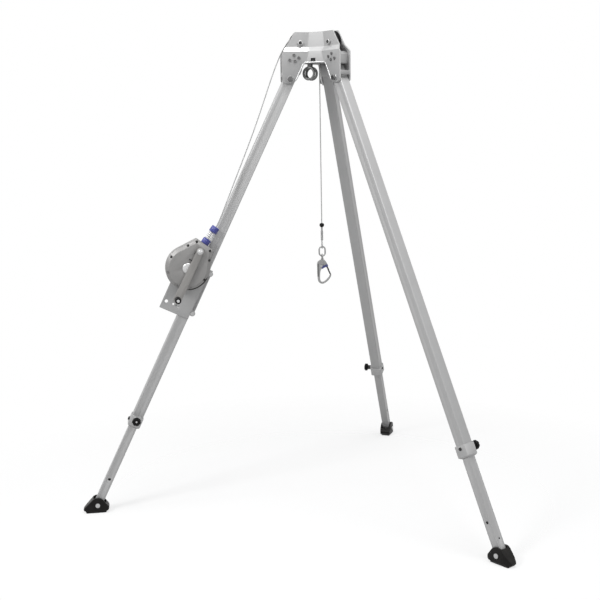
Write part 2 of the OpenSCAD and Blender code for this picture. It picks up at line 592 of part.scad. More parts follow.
module rope_winding() color([0.6, 0.6, 0.6]) on_winch() difference() {
    union() {
        bar(drum_n0 + 3.4, drum_n1 - 3.4, wind_r);
        for (k = [-1:1]) translate([0, rope_n + k * (rope_d + 0.4), 0]) rotate([90, 0, 0]) rotate_extrude()
            translate([wind_r, 0]) circle(rope_r);
    }
    bar(0, 100, 40 + eps);
}
module crank_shaft() color([0.72, 0.72, 0.73]) on_winch() at(0, gear_c) {
    bar(back_n + 3, face_n + 17, crank_r);
    slab(drum_n1 + 1, drum_n1 + 10) rotate(270) spur(pinion_teeth, 0.5);
}
hub_e = winch_e - gear_c * sin(winch_tilt);
hub_t = -winch_s + gear_c * cos(winch_tilt);
arm_n0 = face_n + 7;
arm_n1 = arm_n0 + 8;
grip_n = arm_n1 + 1;
module crank_arm() color([0.6, 0.6, 0.61]) on_leg(az_winch) translate([hub_e, 0, hub_t]) {
    difference() {
        union() {
            slab(arm_n0, arm_n1) {
                circle(17);
                translate([4, -crank_reach]) circle(19);
                polygon([[-15, 8], [15, 8], [22.5, -crank_reach + 4], [-14.5, -crank_reach + 4]]);
            }
            bar(face_n + 0.6, arm_n0, 16);
            bar(arm_n1, arm_n1 + 3, 14);
        }
        bar(0, 200, crank_r + eps);
    }
    bar(arm_n1 + 2, arm_n1 + 6, 11);
    translate([4, 0, -crank_reach]) {
        bar(arm_n1, grip_n + 51, 6);
        bar(grip_n + 50.5, grip_n + 53, 6.8);
    }
}
module crank_grip() color([0.07, 0.07, 0.08]) on_leg(az_winch) translate([hub_e + 4, 0, hub_t - crank_reach])
    translate([0, grip_n, 0]) rotate([-90, 0, 0]) rotate_extrude()
        polygon([[6 + run, 0], [12, 0], [14, 3], [13, 18], [13.4, 30], [14.5, 42], [13, 49], [11, 50],
            [6 + run, 50]]);

// rope
function on_axis(p) = [winch_e + p[0] * cos(winch_tilt) - p[2] * sin(winch_tilt), p[1],
    -winch_s + p[0] * sin(winch_tilt) + p[2] * cos(winch_tilt)];
land_a = 37;
land = [sheave_radius + sheave_pitch * cos(land_a) - pivot_radius, sheave_rise + sheave_pitch * sin(land_a)];
land_leg = [land[0] * cos(lean) + land[1] * sin(lean), 0, land[1] * cos(lean) - land[0] * sin(lean)];
before_land = [sin(land_a - lean), 0, -cos(land_a - lean)];
route = concat([for (p = winch_route) on_axis(p)], leg_route,
    [for (d = [45, 15, 0.6]) land_leg + d * before_land]);
module rope_run() color([0.7, 0.7, 0.7]) on_leg(az_winch) swept(smooth(route, 4), rope_r, 8, [0, 1, 0]);
over = concat([for (a = [land_a:7:90])
    [sheave_radius + sheave_pitch * cos(a), 0, sheave_z + sheave_pitch * sin(a)]],
    [for (a = [90:10:180]) [drop_pitch + drop_pitch * cos(a), 0, drop_z + drop_pitch * sin(a)]]);
module rope_over() color([0.7, 0.7, 0.7]) rotate([0, 0, az_winch]) swept(over, rope_r, 8, [0, 1, 0]);
module rope_drop() color([0.7, 0.7, 0.7]) translate([0, 0, ball_z + ball_d / 2 - 1.5])
    cylinder(r = rope_r, h = drop_z - 0.6 - ball_z - ball_d / 2 + 1.5);

module stopper_ball() color([0.06, 0.06, 0.07]) translate([0, 0, ball_z]) difference() {
    sphere(ball_d / 2);
    translate([0, 0, ball_d / 2 - 1.5]) cylinder(r = 20, h = 10);
    translate([0, 0, -20 - ball_d / 2 + 1.5]) cylinder(r = 20, h = 20);
}

// an oval of round wire in X and Z
module oval(w, h, r) {
    for (s = [-1, 1]) translate([s * w, 0, -h]) cylinder(r = r, h = 2 * h);
    translate([0, 0, h]) rotate([90, 0, 0]) rotate_extrude(angle = 180) translate([w, 0]) circle(r);
    translate([0, 0, -h]) rotate([-90, 0, 0]) rotate_extrude(angle = 180) translate([w, 0]) circle(r);
}
ferrule_z1 = ball_z - ball_d / 2 + 1.5;
ferrule_z0 = ball_z - 71;
thimble_low = link_z + 18 - 0.4 - 3;
module rope_termination() color([0.6, 0.6, 0.61]) {
    translate([0, 0, ferrule_z0]) rotate_extrude() polygon([[0, 0], [5, 0], [5.6, 4], [5.6, 40], [4.6, 46],
        [4.2, 50], [4.2, ferrule_z1 - ferrule_z0], [0, ferrule_z1 - ferrule_z0]]);
    translate([0, 0, (thimble_low + ferrule_z0) / 2]) rotate([0, 0, 90])
        oval(8.5, (ferrule_z0 - thimble_low) / 2 - 8.5, 3);
}
module link() color([0.75, 0.75, 0.76]) translate([0, 0, link_z]) oval(14, 7.5, 3.5);

// snap hook hanging on the link, its eye turned across the link
eye_top = link_z - 18 + 0.4 + 3.2;
hz = link_z - 21.5;
module hook_eye() color([0.75, 0.75, 0.76]) {
    translate([0, 0, eye_top - 9.5]) rotate([0, 90, 0]) rotate_extrude() translate([9.5, 0]) circle(3.2);
    translate([0, 0, hz - 46]) cylinder(r = 4.5, h = 35);
    translate([0, 0, hz - 47]) cylinder(r = 7, h = 4.6);
    translate([0, 0, hz - 16.5]) cylinder(r = 7, h = 4);
}
nose_in = [[35.5, -89.8], [34, -93], [28, -102], [18, -113], [7, -120.5], [-1, -122], [-7, -120],
    [-11, -113], [-12.5, -100]];
module hook_body() color([0.72, 0.72, 0.73]) translate([0, 0, hz]) difference() {
    union() {
        slab(-6, 6) polygon(concat([[-9, -18], [9, -18], [17, -28], [24, -40], [26, -50], [14, -53], [2, -56],
            [-7, -64], [-11, -76], [-12.5, -100]], [for (i = [7:-1:0]) nose_in[i]],
            [[41.5, -87.3], [40, -95], [33, -107], [21, -120], [9, -128], [-1, -131], [-11, -129], [-19, -121],
            [-22.5, -108], [-24, -60], [-24, -30], [-19, -25]]));
        translate([0, 0, -41.7]) cylinder(r = 7, h = 23.7);
    }
    translate([0, 0, -48]) cylinder(r = 4.5 + run, h = 48);
    translate([-8.5, -20, -49]) cube([17, 40, 7]);
    translate([7.6, -3.4, -58]) cube([30, 6.8, 20.5]);
    at(19, -45) bar(-20, 20, 2 + eps);
}
module hook_gate() color([0.12, 0.12, 0.13]) translate([0, 0, hz]) difference() {
    union() {
        slab(-3, 3) polygon([[15.5, -42], [21, -40.5], [23.5, -44], [28, -58], [22, -60], [15.5, -48]]);
        slab(-5, 5) polygon([[21.5, -57], [28.5, -57], [33, -71], [40.5, -86.4], [35, -88.6], [27, -72]]);
    }
    at(19, -45) bar(-20, 20, 2 + run);
}
module hook_lever() color([0.2, 0.22, 0.5]) translate([0, 0, hz]) {
    slab(-10.6, -7.4) polygon([[-5, -58], [-1, -61], [5, -56], [16, -52], [24, -52], [25.5, -46], [22, -39],
        [12, -43], [0, -47]]);
    at(19, -45) bar(-10.6, 7, 2);
    at(19, -45) bar(6.4, 9, 4.5);
}

head_plate_front();
head_plate_right();
head_plate_rear();
leg_stop_blocks();
block_bolts();
tie_bars();
leg_pivot_bolts();
sheave_axle_bolts();
sheave_cheeks();
drop_sheave_axle();
anchor_plate();
anchor_eyes();
rope_over();
sheave_winch();
sheave_right();
sheave_back();
drop_sheave();
outer_tube_winch();
outer_tube_right();
outer_tube_back();
leg_fittings_winch();
leg_fittings_right();
leg_fittings_back();
inner_tube_winch();
inner_tube_right();
inner_tube_back();
lock_knob_winch();
lock_knob_right();
lock_knob_back();
foot_winch();
foot_right();
foot_back();
foot_bolt_winch();
foot_bolt_right();
foot_bolt_back();
winch_bracket();
bracket_pins();
housing_back();
housing_cover();
housing_screws();
centre_cap();
outlet_guide();
buffer_spring();
buffer_cap();
rope_drum();
drum_gear();
rope_winding();
crank_shaft();
crank_arm();
crank_grip();
rope_run();
rope_drop();
stopper_ball();
rope_termination();
link();
hook_eye();
hook_body();
hook_gate();
hook_lever();
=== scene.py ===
import json
from math import sin, cos, tan, pi, radians, sqrt, hypot, atan2
import bpy
import bmesh
from mathutils import Vector, Matrix

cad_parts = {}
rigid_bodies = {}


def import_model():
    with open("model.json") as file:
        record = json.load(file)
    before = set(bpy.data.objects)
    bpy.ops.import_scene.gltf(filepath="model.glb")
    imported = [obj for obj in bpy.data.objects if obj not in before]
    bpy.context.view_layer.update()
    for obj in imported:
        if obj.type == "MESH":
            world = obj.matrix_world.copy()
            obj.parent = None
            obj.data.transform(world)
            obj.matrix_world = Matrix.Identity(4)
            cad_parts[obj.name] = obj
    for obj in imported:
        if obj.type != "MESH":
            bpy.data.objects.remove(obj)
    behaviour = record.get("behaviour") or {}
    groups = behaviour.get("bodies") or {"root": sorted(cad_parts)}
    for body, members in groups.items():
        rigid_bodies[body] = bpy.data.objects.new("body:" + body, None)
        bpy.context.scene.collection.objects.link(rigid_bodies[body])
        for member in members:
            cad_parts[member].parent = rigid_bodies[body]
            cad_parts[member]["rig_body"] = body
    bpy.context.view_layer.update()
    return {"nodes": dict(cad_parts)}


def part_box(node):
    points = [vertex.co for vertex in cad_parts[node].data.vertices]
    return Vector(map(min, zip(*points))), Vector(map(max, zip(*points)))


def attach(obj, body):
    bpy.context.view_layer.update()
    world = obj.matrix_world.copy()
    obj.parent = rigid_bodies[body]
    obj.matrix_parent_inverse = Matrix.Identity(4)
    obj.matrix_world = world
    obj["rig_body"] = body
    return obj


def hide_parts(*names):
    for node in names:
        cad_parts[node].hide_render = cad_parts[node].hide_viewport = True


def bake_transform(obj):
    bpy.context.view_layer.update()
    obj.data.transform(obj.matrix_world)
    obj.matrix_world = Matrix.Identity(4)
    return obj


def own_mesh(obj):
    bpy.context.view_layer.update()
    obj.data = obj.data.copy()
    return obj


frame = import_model()
nodes = frame["nodes"]
mm = 0.001
print("frame loaded:", len(nodes), "nodes")

stance = {
    "lean": radians(26), "pivotRadius": 0.140, "legLength": 2.148, "footBolt": 0.038,
    "legs": {"winch": 180.0, "right": -60.0, "back": 60.0},
}
lean = stance["lean"]
pivotR = stance["pivotRadius"]
pivotZ = stance["footBolt"] + stance["legLength"] * cos(lean)
sheaves = {  # swing is how far a folding leg's top reaches, block and above lead on up to the sheave bolts
    "pitch": 0.045, "drop": 0.019, "rims": 0.064 + 0.006, "gap": 0.006, "rise": 0.026,
    "swing": hypot(0.025, 0.055) + 0.0009, "block": 0.0497, "above": 0.048,
}
sheaveR = sheaves["drop"] + sqrt((sheaves["rims"] + sheaves["gap"]) ** 2 - sheaves["rise"] ** 2)
sheaveZ = pivotZ + sheaves["swing"] + sheaves["block"] + sheaves["above"]
dropZ = sheaveZ + sheaves["rise"]
winch = {"place": (0.076, 0, -0.962), "tilt": radians(-11), "ropeOff": 0.054}


def spinZ(degrees):
    return Matrix.Rotation(radians(degrees), 4, "Z")


def legFrame(leg):  # X outward, Y off the counter-clockwise face, Z up along the leg
    pivot = spinZ(stance["legs"][leg]) @ Matrix.Translation((pivotR, 0, pivotZ))
    return pivot @ Matrix.Rotation(-lean, 4, "Y")


winchFrame = legFrame("winch") @ Matrix.Translation(winch["place"]) @ Matrix.Rotation(winch["tilt"], 4, "Y")


def placed(name, data):
    made = bpy.data.objects.new(name, data)
    bpy.context.scene.collection.objects.link(made)
    return made


# camera, at the photograph's own viewing angle

view = {
    "place": (-0.8522, -4.6304, 1.6885), "turn": -9.12, "down": 8.85, "roll": -1.04,
    "lens": 60.83, "sensor": 36, "far": 60,
}


def setCamera():
    turn, down, roll = radians(view["turn"]), radians(view["down"]), radians(view["roll"])
    ahead = Vector((-sin(turn) * cos(down), cos(turn) * cos(down), -sin(down)))
    right = Vector((cos(turn), sin(turn), 0))
    up = right.cross(ahead)
    across = right * cos(roll) + up * sin(roll)
    above = up * cos(roll) - right * sin(roll)
    data = bpy.data.cameras.new("photoCamera")
    data.lens, data.sensor_width, data.clip_end = view["lens"], view["sensor"], view["far"]
    camera = placed("photoCamera", data)
    turnTo = Matrix((across, above, -ahead)).transposed().to_4x4()
    camera.matrix_world = Matrix.Translation(view["place"]) @ turnTo
    bpy.context.scene.camera = camera


setCamera()
print("camera set")


# finishes

noiseLow, noiseHigh = 0.3, 0.7  # most of a noise's values lie between these


def knot(tree, kind, inputs=None, **settings):
    made = tree.nodes.new("ShaderNode" + kind)
    for key, value in settings.items():
        setattr(made, key, value)
    for key, value in (inputs or {}).items():
        if isinstance(value, bpy.types.NodeSocket):
            tree.links.new(value, made.inputs[key])
        else:
            made.inputs[key].default_value = value
    return made


def blank(name):
    made = bpy.data.materials.new(name)
    made.use_nodes = True
    tree = made.node_tree
    return made, tree, tree.nodes["Principled BSDF"]


def noise(tree, spot, scale, detail, rough=0.5):
    inputs = {"Vector": spot, "Scale": scale, "Detail": detail, "Roughness": rough}
    return knot(tree, "TexNoise", inputs).outputs["Fac"]


def spread(tree, value, low, high, start=noiseLow, end=noiseHigh):  # noise stretched to a range
    limits = {"Value": value, "From Min": start, "From Max": end, "To Min": low, "To Max": high}
    return knot(tree, "MapRange", limits).outputs[0]


def tones(tree, value, dark, light):
    ramp = knot(tree, "ValToRGB", {"Fac": value})
    low, high = ramp.color_ramp.elements
    low.position, low.color = noiseLow, (*dark, 1)
    high.position, high.color = noiseHigh, (*light, 1)
    return ramp.outputs[0]


def grey(v, warm=0.0):
    return (v * (1 + warm), v, v * (1 - warm))


def mixed(tree, share, first, second):  # one colour laid over another
    inputs = {"Factor": share, "A": first, "B": second}
    return knot(tree, "Mix", inputs, data_type="RGBA").outputs[2]


def bumped(tree, shader, height, strength, deep):
    bump = knot(tree, "Bump", {"Height": height, "Strength": strength, "Distance": deep})
    tree.links.new(bump.outputs[0], shader.inputs["Normal"])


metalWear = {  # what a metal look doesn't say for itself
    "detail": 4.0, "cloudShare": 0.5, "warm": 0.0, "fleck": 190.0,
    "fleckSpan": (0.66, 0.76), "fleckTone": 0.62, "deep": 0.0004,
}


def metalFinish(name, look, turn=None):
    look = {**metalWear, **look}
    made, tree, shader = blank(name)
    spot = knot(tree, "TexCoord").outputs["Object"]
    if turn is not None:  # grain runs along the piece
        spot = knot(tree, "Mapping", {"Vector": spot, "Rotation": turn}).outputs[0]
    drawn = knot(tree, "Mapping", {"Vector": spot, "Scale": look["grain"]}).outputs[0]
    grain = noise(tree, drawn, 1.0, look["detail"], 0.65)
    cloud = noise(tree, spot, look["cloud"], 5.0, 0.6)
    blend = {"Factor": look["cloudShare"], "A": grain, "B": cloud}
    both = knot(tree, "Mix", blend, data_type="FLOAT").outputs[0]
    base, tone, warm = look["base"], look["tone"], look["warm"]
    shade = tones(tree, both, grey(base * (1 - tone), warm), grey(base * (1 + tone), warm))
    fleck = noise(tree, spot, look["fleck"], 2.0)
    marks = spread(tree, fleck, 0.0, look["marks"], *look["fleckSpan"])  # small darker handling marks
    worn = mixed(tree, marks, shade, (*grey(base * look["fleckTone"], warm), 1))
    tree.links.new(worn, shader.inputs["Base Color"])
    smoothest, roughest = look["rough"] - look["roughSpread"], look["rough"] + look["roughSpread"]
    tree.links.new(spread(tree, both, smoothest, roughest), shader.inputs["Roughness"])
    bumped(tree, shader, grain, look["bump"], look["deep"])
    shader.inputs["Metallic"].default_value = look["metal"]
    return made


plasticWear = {  # what a plastic look doesn't say for itself
    "gloss": 0.5, "roughSpread": 0.07, "deep": 0.0003,
    "dustTone": (0.23, 0.22, 0.21, 1), "dustScale": 60.0, "dustSpan": (0.4, 0.75), "dustFacing": (0.1, 0.9),
}


def plasticFinish(name, look):
    look = {**plasticWear, **look}
    made, tree, shader = blank(name)
    spot = knot(tree, "TexCoord").outputs["Object"]
    pores = noise(tree, spot, look["pores"], 3.0)
    cloud = noise(tree, spot, look["cloud"], 4.0)
    shade = tones(tree, cloud, look["dark"], look["light"])
    if "dust" in look:  # pale dust that settles on what faces up
        normal = knot(tree, "NewGeometry").outputs["Normal"]
        up = knot(tree, "SeparateXYZ", {"Vector": normal}).outputs[2]
        facing = spread(tree, up, 0.0, 1.0, *look["dustFacing"])
        fine = noise(tree, spot, look["dustScale"], 6.0, 0.7)
        amount = spread(tree, fine, 0.0, look["dust"], *look["dustSpan"])
        lie = knot(tree, "Math", {0: facing, 1: amount}, operation="MULTIPLY")
        shade = mixed(tree, lie.outputs[0], shade, look["dustTone"])
    tree.links.new(shade, shader.inputs["Base Color"])
    smoothest, roughest = look["rough"] - look["roughSpread"], look["rough"] + look["roughSpread"]
    tree.links.new(spread(tree, cloud, smoothest, roughest), shader.inputs["Roughness"])
    shader.inputs["Specular IOR Level"].default_value = look["gloss"]
    bumped(tree, shader, pores, look["bump"], look["deep"])
    return made


def alongLeg(leg):  # turns the texture so that its third axis runs down the leg
    facing = Matrix.Rotation(radians(-stance["legs"][leg]), 3, "Z")
    return (Matrix.Rotation(lean, 3, "Y") @ facing).to_euler()


tubeLook = {"base": 0.42, "tone": 0.05, "metal": 0.25, "rough": 0.48, "roughSpread": 0.07, "bump": 0.02,
            "grain": (420, 420, 4), "detail": 1.5, "cloud": 6.0, "cloudShare": 0.6, "marks": 0.1, "fleck": 90.0}
plateLook = {"base": 0.36, "tone": 0.06, "metal": 0.22, "rough": 0.54, "roughSpread": 0.06, "bump": 0.12,
             "grain": (900, 900, 900), "cloud": 16.0, "marks": 0.22}
# bright finish of the cut edges and the edge bead: partly their own polish, partly painted reflection; on the
# joggle's slope it is painted light
edgeAndPaintedLightLook = {"base": 0.52, "tone": 0.05, "metal": 0.45, "rough": 0.32, "roughSpread": 0.06, "bump": 0.08,
            "grain": (900, 900, 900), "cloud": 40.0, "marks": 0.2}
castLook = {"base": 0.38, "tone": 0.09, "metal": 0.35, "rough": 0.52, "roughSpread": 0.08, "bump": 0.3,
            "grain": (520, 520, 520), "cloud": 24.0, "marks": 0.3}
housingLook = {"base": 0.255, "tone": 0.07, "metal": 0.3, "rough": 0.46, "roughSpread": 0.08, "bump": 0.14,
               "grain": (800, 800, 800), "cloud": 18.0, "warm": 0.015, "marks": 0.28}
steelLook = {"base": 0.47, "tone": 0.09, "metal": 0.6, "rough": 0.32, "roughSpread": 0.08, "bump": 0.08,
             "grain": (900, 900, 900), "cloud": 60.0, "marks": 0.3}
polishedLook = {"base": 0.6, "tone": 0.04, "metal": 0.45, "rough": 0.26, "roughSpread": 0.05, "bump": 0.03,
                "grain": (700, 700, 700), "cloud": 40.0, "marks": 0.1}
darkSteelLook = {"base": 0.035, "tone": 0.25, "metal": 0.5, "rough": 0.4, "roughSpread": 0.1, "bump": 0.1,
                 "grain": (900, 900, 900), "cloud": 60.0, "marks": 0.2}
greySteelLook = {"base": 0.14, "tone": 0.2, "metal": 0.6, "rough": 0.38, "roughSpread": 0.1, "bump": 0.12,
                 "grain": (800, 800, 800), "cloud": 70.0, "marks": 0.3}
armLook = {"base": 0.26, "tone": 0.07, "metal": 0.35, "rough": 0.44, "roughSpread": 0.08, "bump": 0.1,
           "grain": (900, 900, 12), "cloud": 14.0, "warm": 0.03, "marks": 0.25}
hookLook = {"base": 0.31, "tone": 0.12, "metal": 0.6, "rough": 0.34, "roughSpread": 0.08, "bump": 0.08,
            "grain": (900, 900, 900), "cloud": 60.0, "marks": 0.3}
ropeLook = {"base": 0.4, "tone": 0.14, "metal": 0.4, "rough": 0.4, "roughSpread": 0.1, "bump": 0.1,
            "grain": (1500, 1500, 1500), "cloud": 90.0, "marks": 0.25}
blackLook = {"dark": (0.003, 0.003, 0.0034), "light": (0.007, 0.007, 0.0075),
             "pores": 1400.0, "cloud": 30.0, "rough": 0.42, "bump": 0.18, "gloss": 0.12}
rubberLook = {"dark": (0.004, 0.0037, 0.0033), "light": (0.009, 0.0083, 0.0075),
              "pores": 900.0, "cloud": 40.0, "rough": 0.4, "bump": 0.16, "dust": 0.05, "gloss": 0.15}
blueLook = {"dark": (0.034, 0.042, 0.22), "light": (0.052, 0.062, 0.30),
            "pores": 1100.0, "cloud": 36.0, "rough": 0.34, "bump": 0.12}
leverLook = {"dark": (0.036, 0.044, 0.16), "light": (0.060, 0.070, 0.23),
             "pores": 1100.0, "cloud": 50.0, "rough": 0.3, "bump": 0.08}

finish = {
    "plate": metalFinish("satinPlate", plateLook),
    "edge": metalFinish("brightEdgeAndPaintedLight", edgeAndPaintedLightLook),
    "greySteel": metalFinish("greySteel", greySteelLook),
    "cast": metalFinish("blastedCasting", castLook),
    "housing": metalFinish("greyHousing", housingLook),
    "steel": metalFinish("brightSteel", steelLook),
    "polished": metalFinish("polishedCap", polishedLook),
    "dark": metalFinish("blackenedSteel", darkSteelLook),
    "arm": metalFinish("brushedArm", armLook, alongLeg("winch")),
    "hook": metalFinish("forgedHook", hookLook),
    "rope": metalFinish("laidWire", ropeLook),
    "black": plasticFinish("blackMoulding", blackLook),
    "rubber": plasticFinish("shoeRubber", rubberLook),
    "blue": plasticFinish("blueMoulding", blueLook),
    "lever": plasticFinish("blueLever", leverLook),
}
for leg in stance["legs"]:
    finish["tube_" + leg] = metalFinish("drawnTube_" + leg, tubeLook, alongLeg(leg))
print("finishes made:", len(finish))


# mesh helpers

def bodyOf(node):
    return nodes[node]["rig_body"]


def settle(made, angle=32):  # smooth shading, with edges kept sharp above the angle
    for face in made.data.polygons:
        face.use_smooth = True
    made.data.set_sharp_from_angle(angle=radians(angle))
    return made


def newPiece(name, verts, faces, look, angle=32):
    mesh = bpy.data.meshes.new(name)
    mesh.from_pydata([tuple(v) for v in verts], [], faces)
    mesh.validate()
    mesh.update()
    mesh.materials.append(look)
    return settle(placed(name, mesh), angle)


def fromBmesh(name, shape, look, angle=32):
    mesh = bpy.data.meshes.new(name)
    bmesh.ops.recalc_face_normals(shape, faces=shape.faces)
    shape.to_mesh(mesh)
    shape.free()
    mesh.materials.append(look)
    return settle(placed(name, mesh), angle)


def baked(made, angle):  # the modifiers' result becomes the piece's own mesh
    graph = bpy.context.evaluated_depsgraph_get()
    mesh = bpy.data.meshes.new_from_object(made.evaluated_get(graph))
    made.modifiers.clear()
    made.data = mesh
    return settle(made, angle)


def cadCopy(node):  # the node's mesh with its split corners joined and flat faces made whole
    shape = bmesh.new()
    shape.from_mesh(nodes[node].data)
    bmesh.ops.remove_doubles(shape, verts=shape.verts, dist=2e-6)
    bmesh.ops.dissolve_degenerate(shape, edges=shape.edges, dist=1e-6)
    bmesh.ops.dissolve_limit(shape, angle_limit=radians(0.6), verts=shape.verts, edges=shape.edges)
    return shape


def roundOver(shape, edges, width, segments):
    bmesh.ops.bevel(shape, geom=edges, offset=width, offset_type="OFFSET", segments=segments,
                    profile=0.5, affect="EDGES", clamp_overlap=False)


def softEdges(node, look, width, angle=34):  # rounds the edges that turn by more than the angle
    shape = cadCopy(node)
    sharp = [e for e in shape.edges if len(e.link_faces) == 2 and e.calc_face_angle(0) > radians(angle)]
    roundOver(shape, sharp, width, 2)
    made = fromBmesh(node + "_soft", shape, look)
    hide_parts(node)
    return made


def moulded(node, look, voxel, smooth, shape=None, tools=()):  # rounded all over, as cast or moulded
    made = fromBmesh(node + "_moulded", shape or cadCopy(node), look)
    for work, tool in tools:
        cut = made.modifiers.new("carve", "BOOLEAN")
        cut.operation, cut.solver, cut.object = work, "EXACT", tool
    remesh = made.modifiers.new("remesh", "REMESH")
    remesh.mode, remesh.voxel_size, remesh.use_smooth_shade = "VOXEL", voxel, True
    soften = made.modifiers.new("soften", "SMOOTH")
    soften.factor, soften.iterations = 0.5, smooth
    baked(made, 60)
    for work, tool in tools:
        bpy.data.objects.remove(tool)
    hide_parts(node)
    return made


def lathe(name, profile, place, look, steps=48, angle=32, flutes=None):
    shape = bmesh.new()
    rings = []
    for radius, height in profile:  # in millimetres, turned about Z
        r, h = radius * mm, height * mm
        if r < 1e-7:
            rings.append([shape.verts.new(place @ Vector((0, 0, h)))])
            continue
        ring = []
        for k in range(steps):
            a = 2 * pi * k / steps
            out = r
            if flutes and r >= flutes["from"]:  # shallow finger flutes round the rim
                out -= flutes["depth"] * max(0.0, cos(flutes["count"] * a)) ** 1.5
            ring.append(shape.verts.new(place @ Vector((out * cos(a), out * sin(a), h))))
        rings.append(ring)
    for a, b in zip(rings, rings[1:]):
        for k in range(steps):
            j = (k + 1) % steps
            corner = [a[k % len(a)], a[j % len(a)], b[j % len(b)], b[k % len(b)]]
            whole = [v for i, v in enumerate(corner) if v not in corner[:i]]
            if len(whole) > 2:
                shape.faces.new(whole)
    bmesh.ops.remove_doubles(shape, verts=shape.verts, dist=1e-7)
    return fromBmesh(name, shape, look, angle)


def walk(points):  # direction and two square sides at each point of a path
    last = len(points) - 1
    dirs = [(points[min(i + 1, last)] - points[max(i - 1, 0)]).normalized() for i in range(last + 1)]
    side = dirs[0].orthogonal().normalized()
    frames = []
    for d in dirs:
        side = (side - d * side.dot(d)).normalized()
        frames.append((d, side, d.cross(side)))
    return frames


def evenly(points, step):  # the same path in even steps
    gone = [0.0]
    for a, b in zip(points, points[1:]):
        gone.append(gone[-1] + (b - a).length)
    count = max(2, round(gone[-1] / step))
    out, k = [], 0
    for i in range(count + 1):
        want = gone[-1] * i / count
        while k < len(points) - 2 and gone[k + 1] < want:
            k += 1
        span = gone[k + 1] - gone[k]
        out.append(points[k].lerp(points[k + 1], (want - gone[k]) / span if span else 0))
    return out


def spline(points, step, parts=12):  # smooth curve through the points
    fine = []
    for i in range(len(points) - 1):
        a, b, c, d = points[max(i - 1, 0)], points[i], points[i + 1], points[min(i + 2, len(points) - 1)]
        for k in range(parts):
            t = k / parts
            curve = 2 * b + (c - a) * t + (2 * a - 5 * b + 4 * c - d) * t * t
            fine.append(0.5 * (curve + (3 * b - a - 3 * c + d) * t ** 3))
    fine.append(points[-1])
    return evenly(fine, step)


def taper(t, end, rate):  # 1 along the middle of a run, falling to the end value at both ends
    return min(1, end + rate * min(t, 1 - t))


def paintFaces(made, look, test):  # gives a second finish to the faces whose middle passes the test
    made.data.materials.append(look)
    last = len(made.data.materials) - 1
    for face in made.data.polygons:
        if test(face.center):
            face.material_index = last


def joinInto(name, pieces):  # one object from several closed pieces
    shape = bmesh.new()
    looks = []
    for made in pieces:
        first = len(shape.faces)
        shape.from_mesh(made.data)
        shape.faces.ensure_lookup_table()
        for face in shape.faces[first:]:
            look = made.data.materials[face.material_index]
            if look not in looks:
                looks.append(look)
            face.material_index = looks.index(look)
    mesh = bpy.data.meshes.new(name)
    shape.to_mesh(mesh)
    shape.free()
    for look in looks:
        mesh.materials.append(look)
    for made in pieces:
        bpy.data.objects.remove(made)
    return settle(placed(name, mesh))


def tubeMesh(verts, faces, points, radius, sides):  # the radius is a number, or follows the way along
    first = len(verts)
    for i, (p, (d, u, v)) in enumerate(zip(points, walk(points))):
        r = radius(i / (len(points) - 1)) if callable(radius) else radius
        for k in range(sides):
            a = 2 * pi * k / sides
            verts.append(p + u * (r * cos(a)) + v * (r * sin(a)))
    for i in range(len(points) - 1):
        for k in range(sides):
            j = (k + 1) % sides
            a, b = first + i * sides, first + (i + 1) * sides
            faces.append((a + k, a + j, b + j, b + k))
    faces.append(tuple(first + k for k in reversed(range(sides))))
    faces.append(tuple(first + (len(points) - 1) * sides + k for k in range(sides)))


# wire rope: six laid strands round a core, from the drum to the hook

rope = {
    "radius": 0.0025, "strands": 6, "strandShare": 0.36, "coreShare": 0.5, "pitch": 0.034, "step": 0.0026,
    "sides": 6, "drumReach": 0.065, "leaves": radians(29),  # where it leaves the drum
    "lands": 37, "tangent": radians(11), "leadIn": (0.045, 0.015, 0.0),  # how it meets the winch leg's sheave
}
winding = {
    "layers": 4, "turns": 3, "steps": 40, "across": 0.0054, "first": 0.0425, "layer": 0.0051,
    "climbFrom": 2.7, "climbOver": 0.3,
}


def laidRope(name, path):
    points = evenly(path, rope["step"])
    frames = walk(points)
    verts, faces = [], []
    thick = rope["radius"] * rope["strandShare"]
    lay = rope["radius"] - thick
    for s in range(rope["strands"]):
        strand = []
        for i, (p, (d, u, v)) in enumerate(zip(points, frames)):
            a = 2 * pi * (s / rope["strands"] + i * rope["step"] / rope["pitch"])
            strand.append(p + u * (lay * cos(a)) + v * (lay * sin(a)))
        tubeMesh(verts, faces, strand, thick, rope["sides"])
    core = points[::4]
    if (len(points) - 1) % 4:
        core.append(points[-1])
    tubeMesh(verts, faces, core, rope["radius"] * rope["coreShare"], rope["sides"])
    return newPiece(name, verts, faces, finish["rope"], 70)


winchRoute = [  # across and up, in the winch's own frame
    (rope["drumReach"] * cos(rope["leaves"]), rope["drumReach"] * sin(rope["leaves"])),
    (0.042, 0.057), (0.028, 0.082), (0.014, 0.103), (0.003, 0.121),
    (0, 0.138), (0, 0.166), (0, 0.195), (0, 0.224),
]
legRoute = [  # on up the leg, in the leg's own frame
    (0.032, 0.052, -0.708), (0.033, 0.050, -0.670), (0.036, 0.046, -0.610), (0.040, 0.041, -0.530),
    (0.045, 0.035, -0.430), (0.051, 0.028, -0.320), (0.059, 0.021, -0.215), (0.068, 0.015, -0.120),
    (0.076, 0.010, -0.040), (0.081, 0.006, 0.030), (0.082, 0.003, 0.085),
]


def sheavePoint(radius, height, pitch, degrees):  # on a sheave in the winch leg's own plane
    a = radians(degrees)
    return Vector((-(radius + pitch * cos(a)), 0, height + pitch * sin(a)))


def drumTurns():  # the rope on the drum, laid in turns that step across and climb
    turns = []
    for layer in range(winding["layers"]):
        way = 1 if layer % 2 == 0 else -1
        for i in range(winding["turns"] * winding["steps"]):
            gone = i / winding["steps"]
            a = 2 * pi * i / winding["steps"]
            across = (gone - winding["turns"] / 2) * winding["across"] * way
            climb = winding["layer"] * max(0, gone - winding["climbFrom"]) / winding["climbOver"]
            r = winding["first"] + layer * winding["layer"] + (climb if layer < winding["layers"] - 1 else 0)
            turns.append(winchFrame @ Vector((r * cos(a), winch["ropeOff"] + across, r * sin(a))))
    return turns


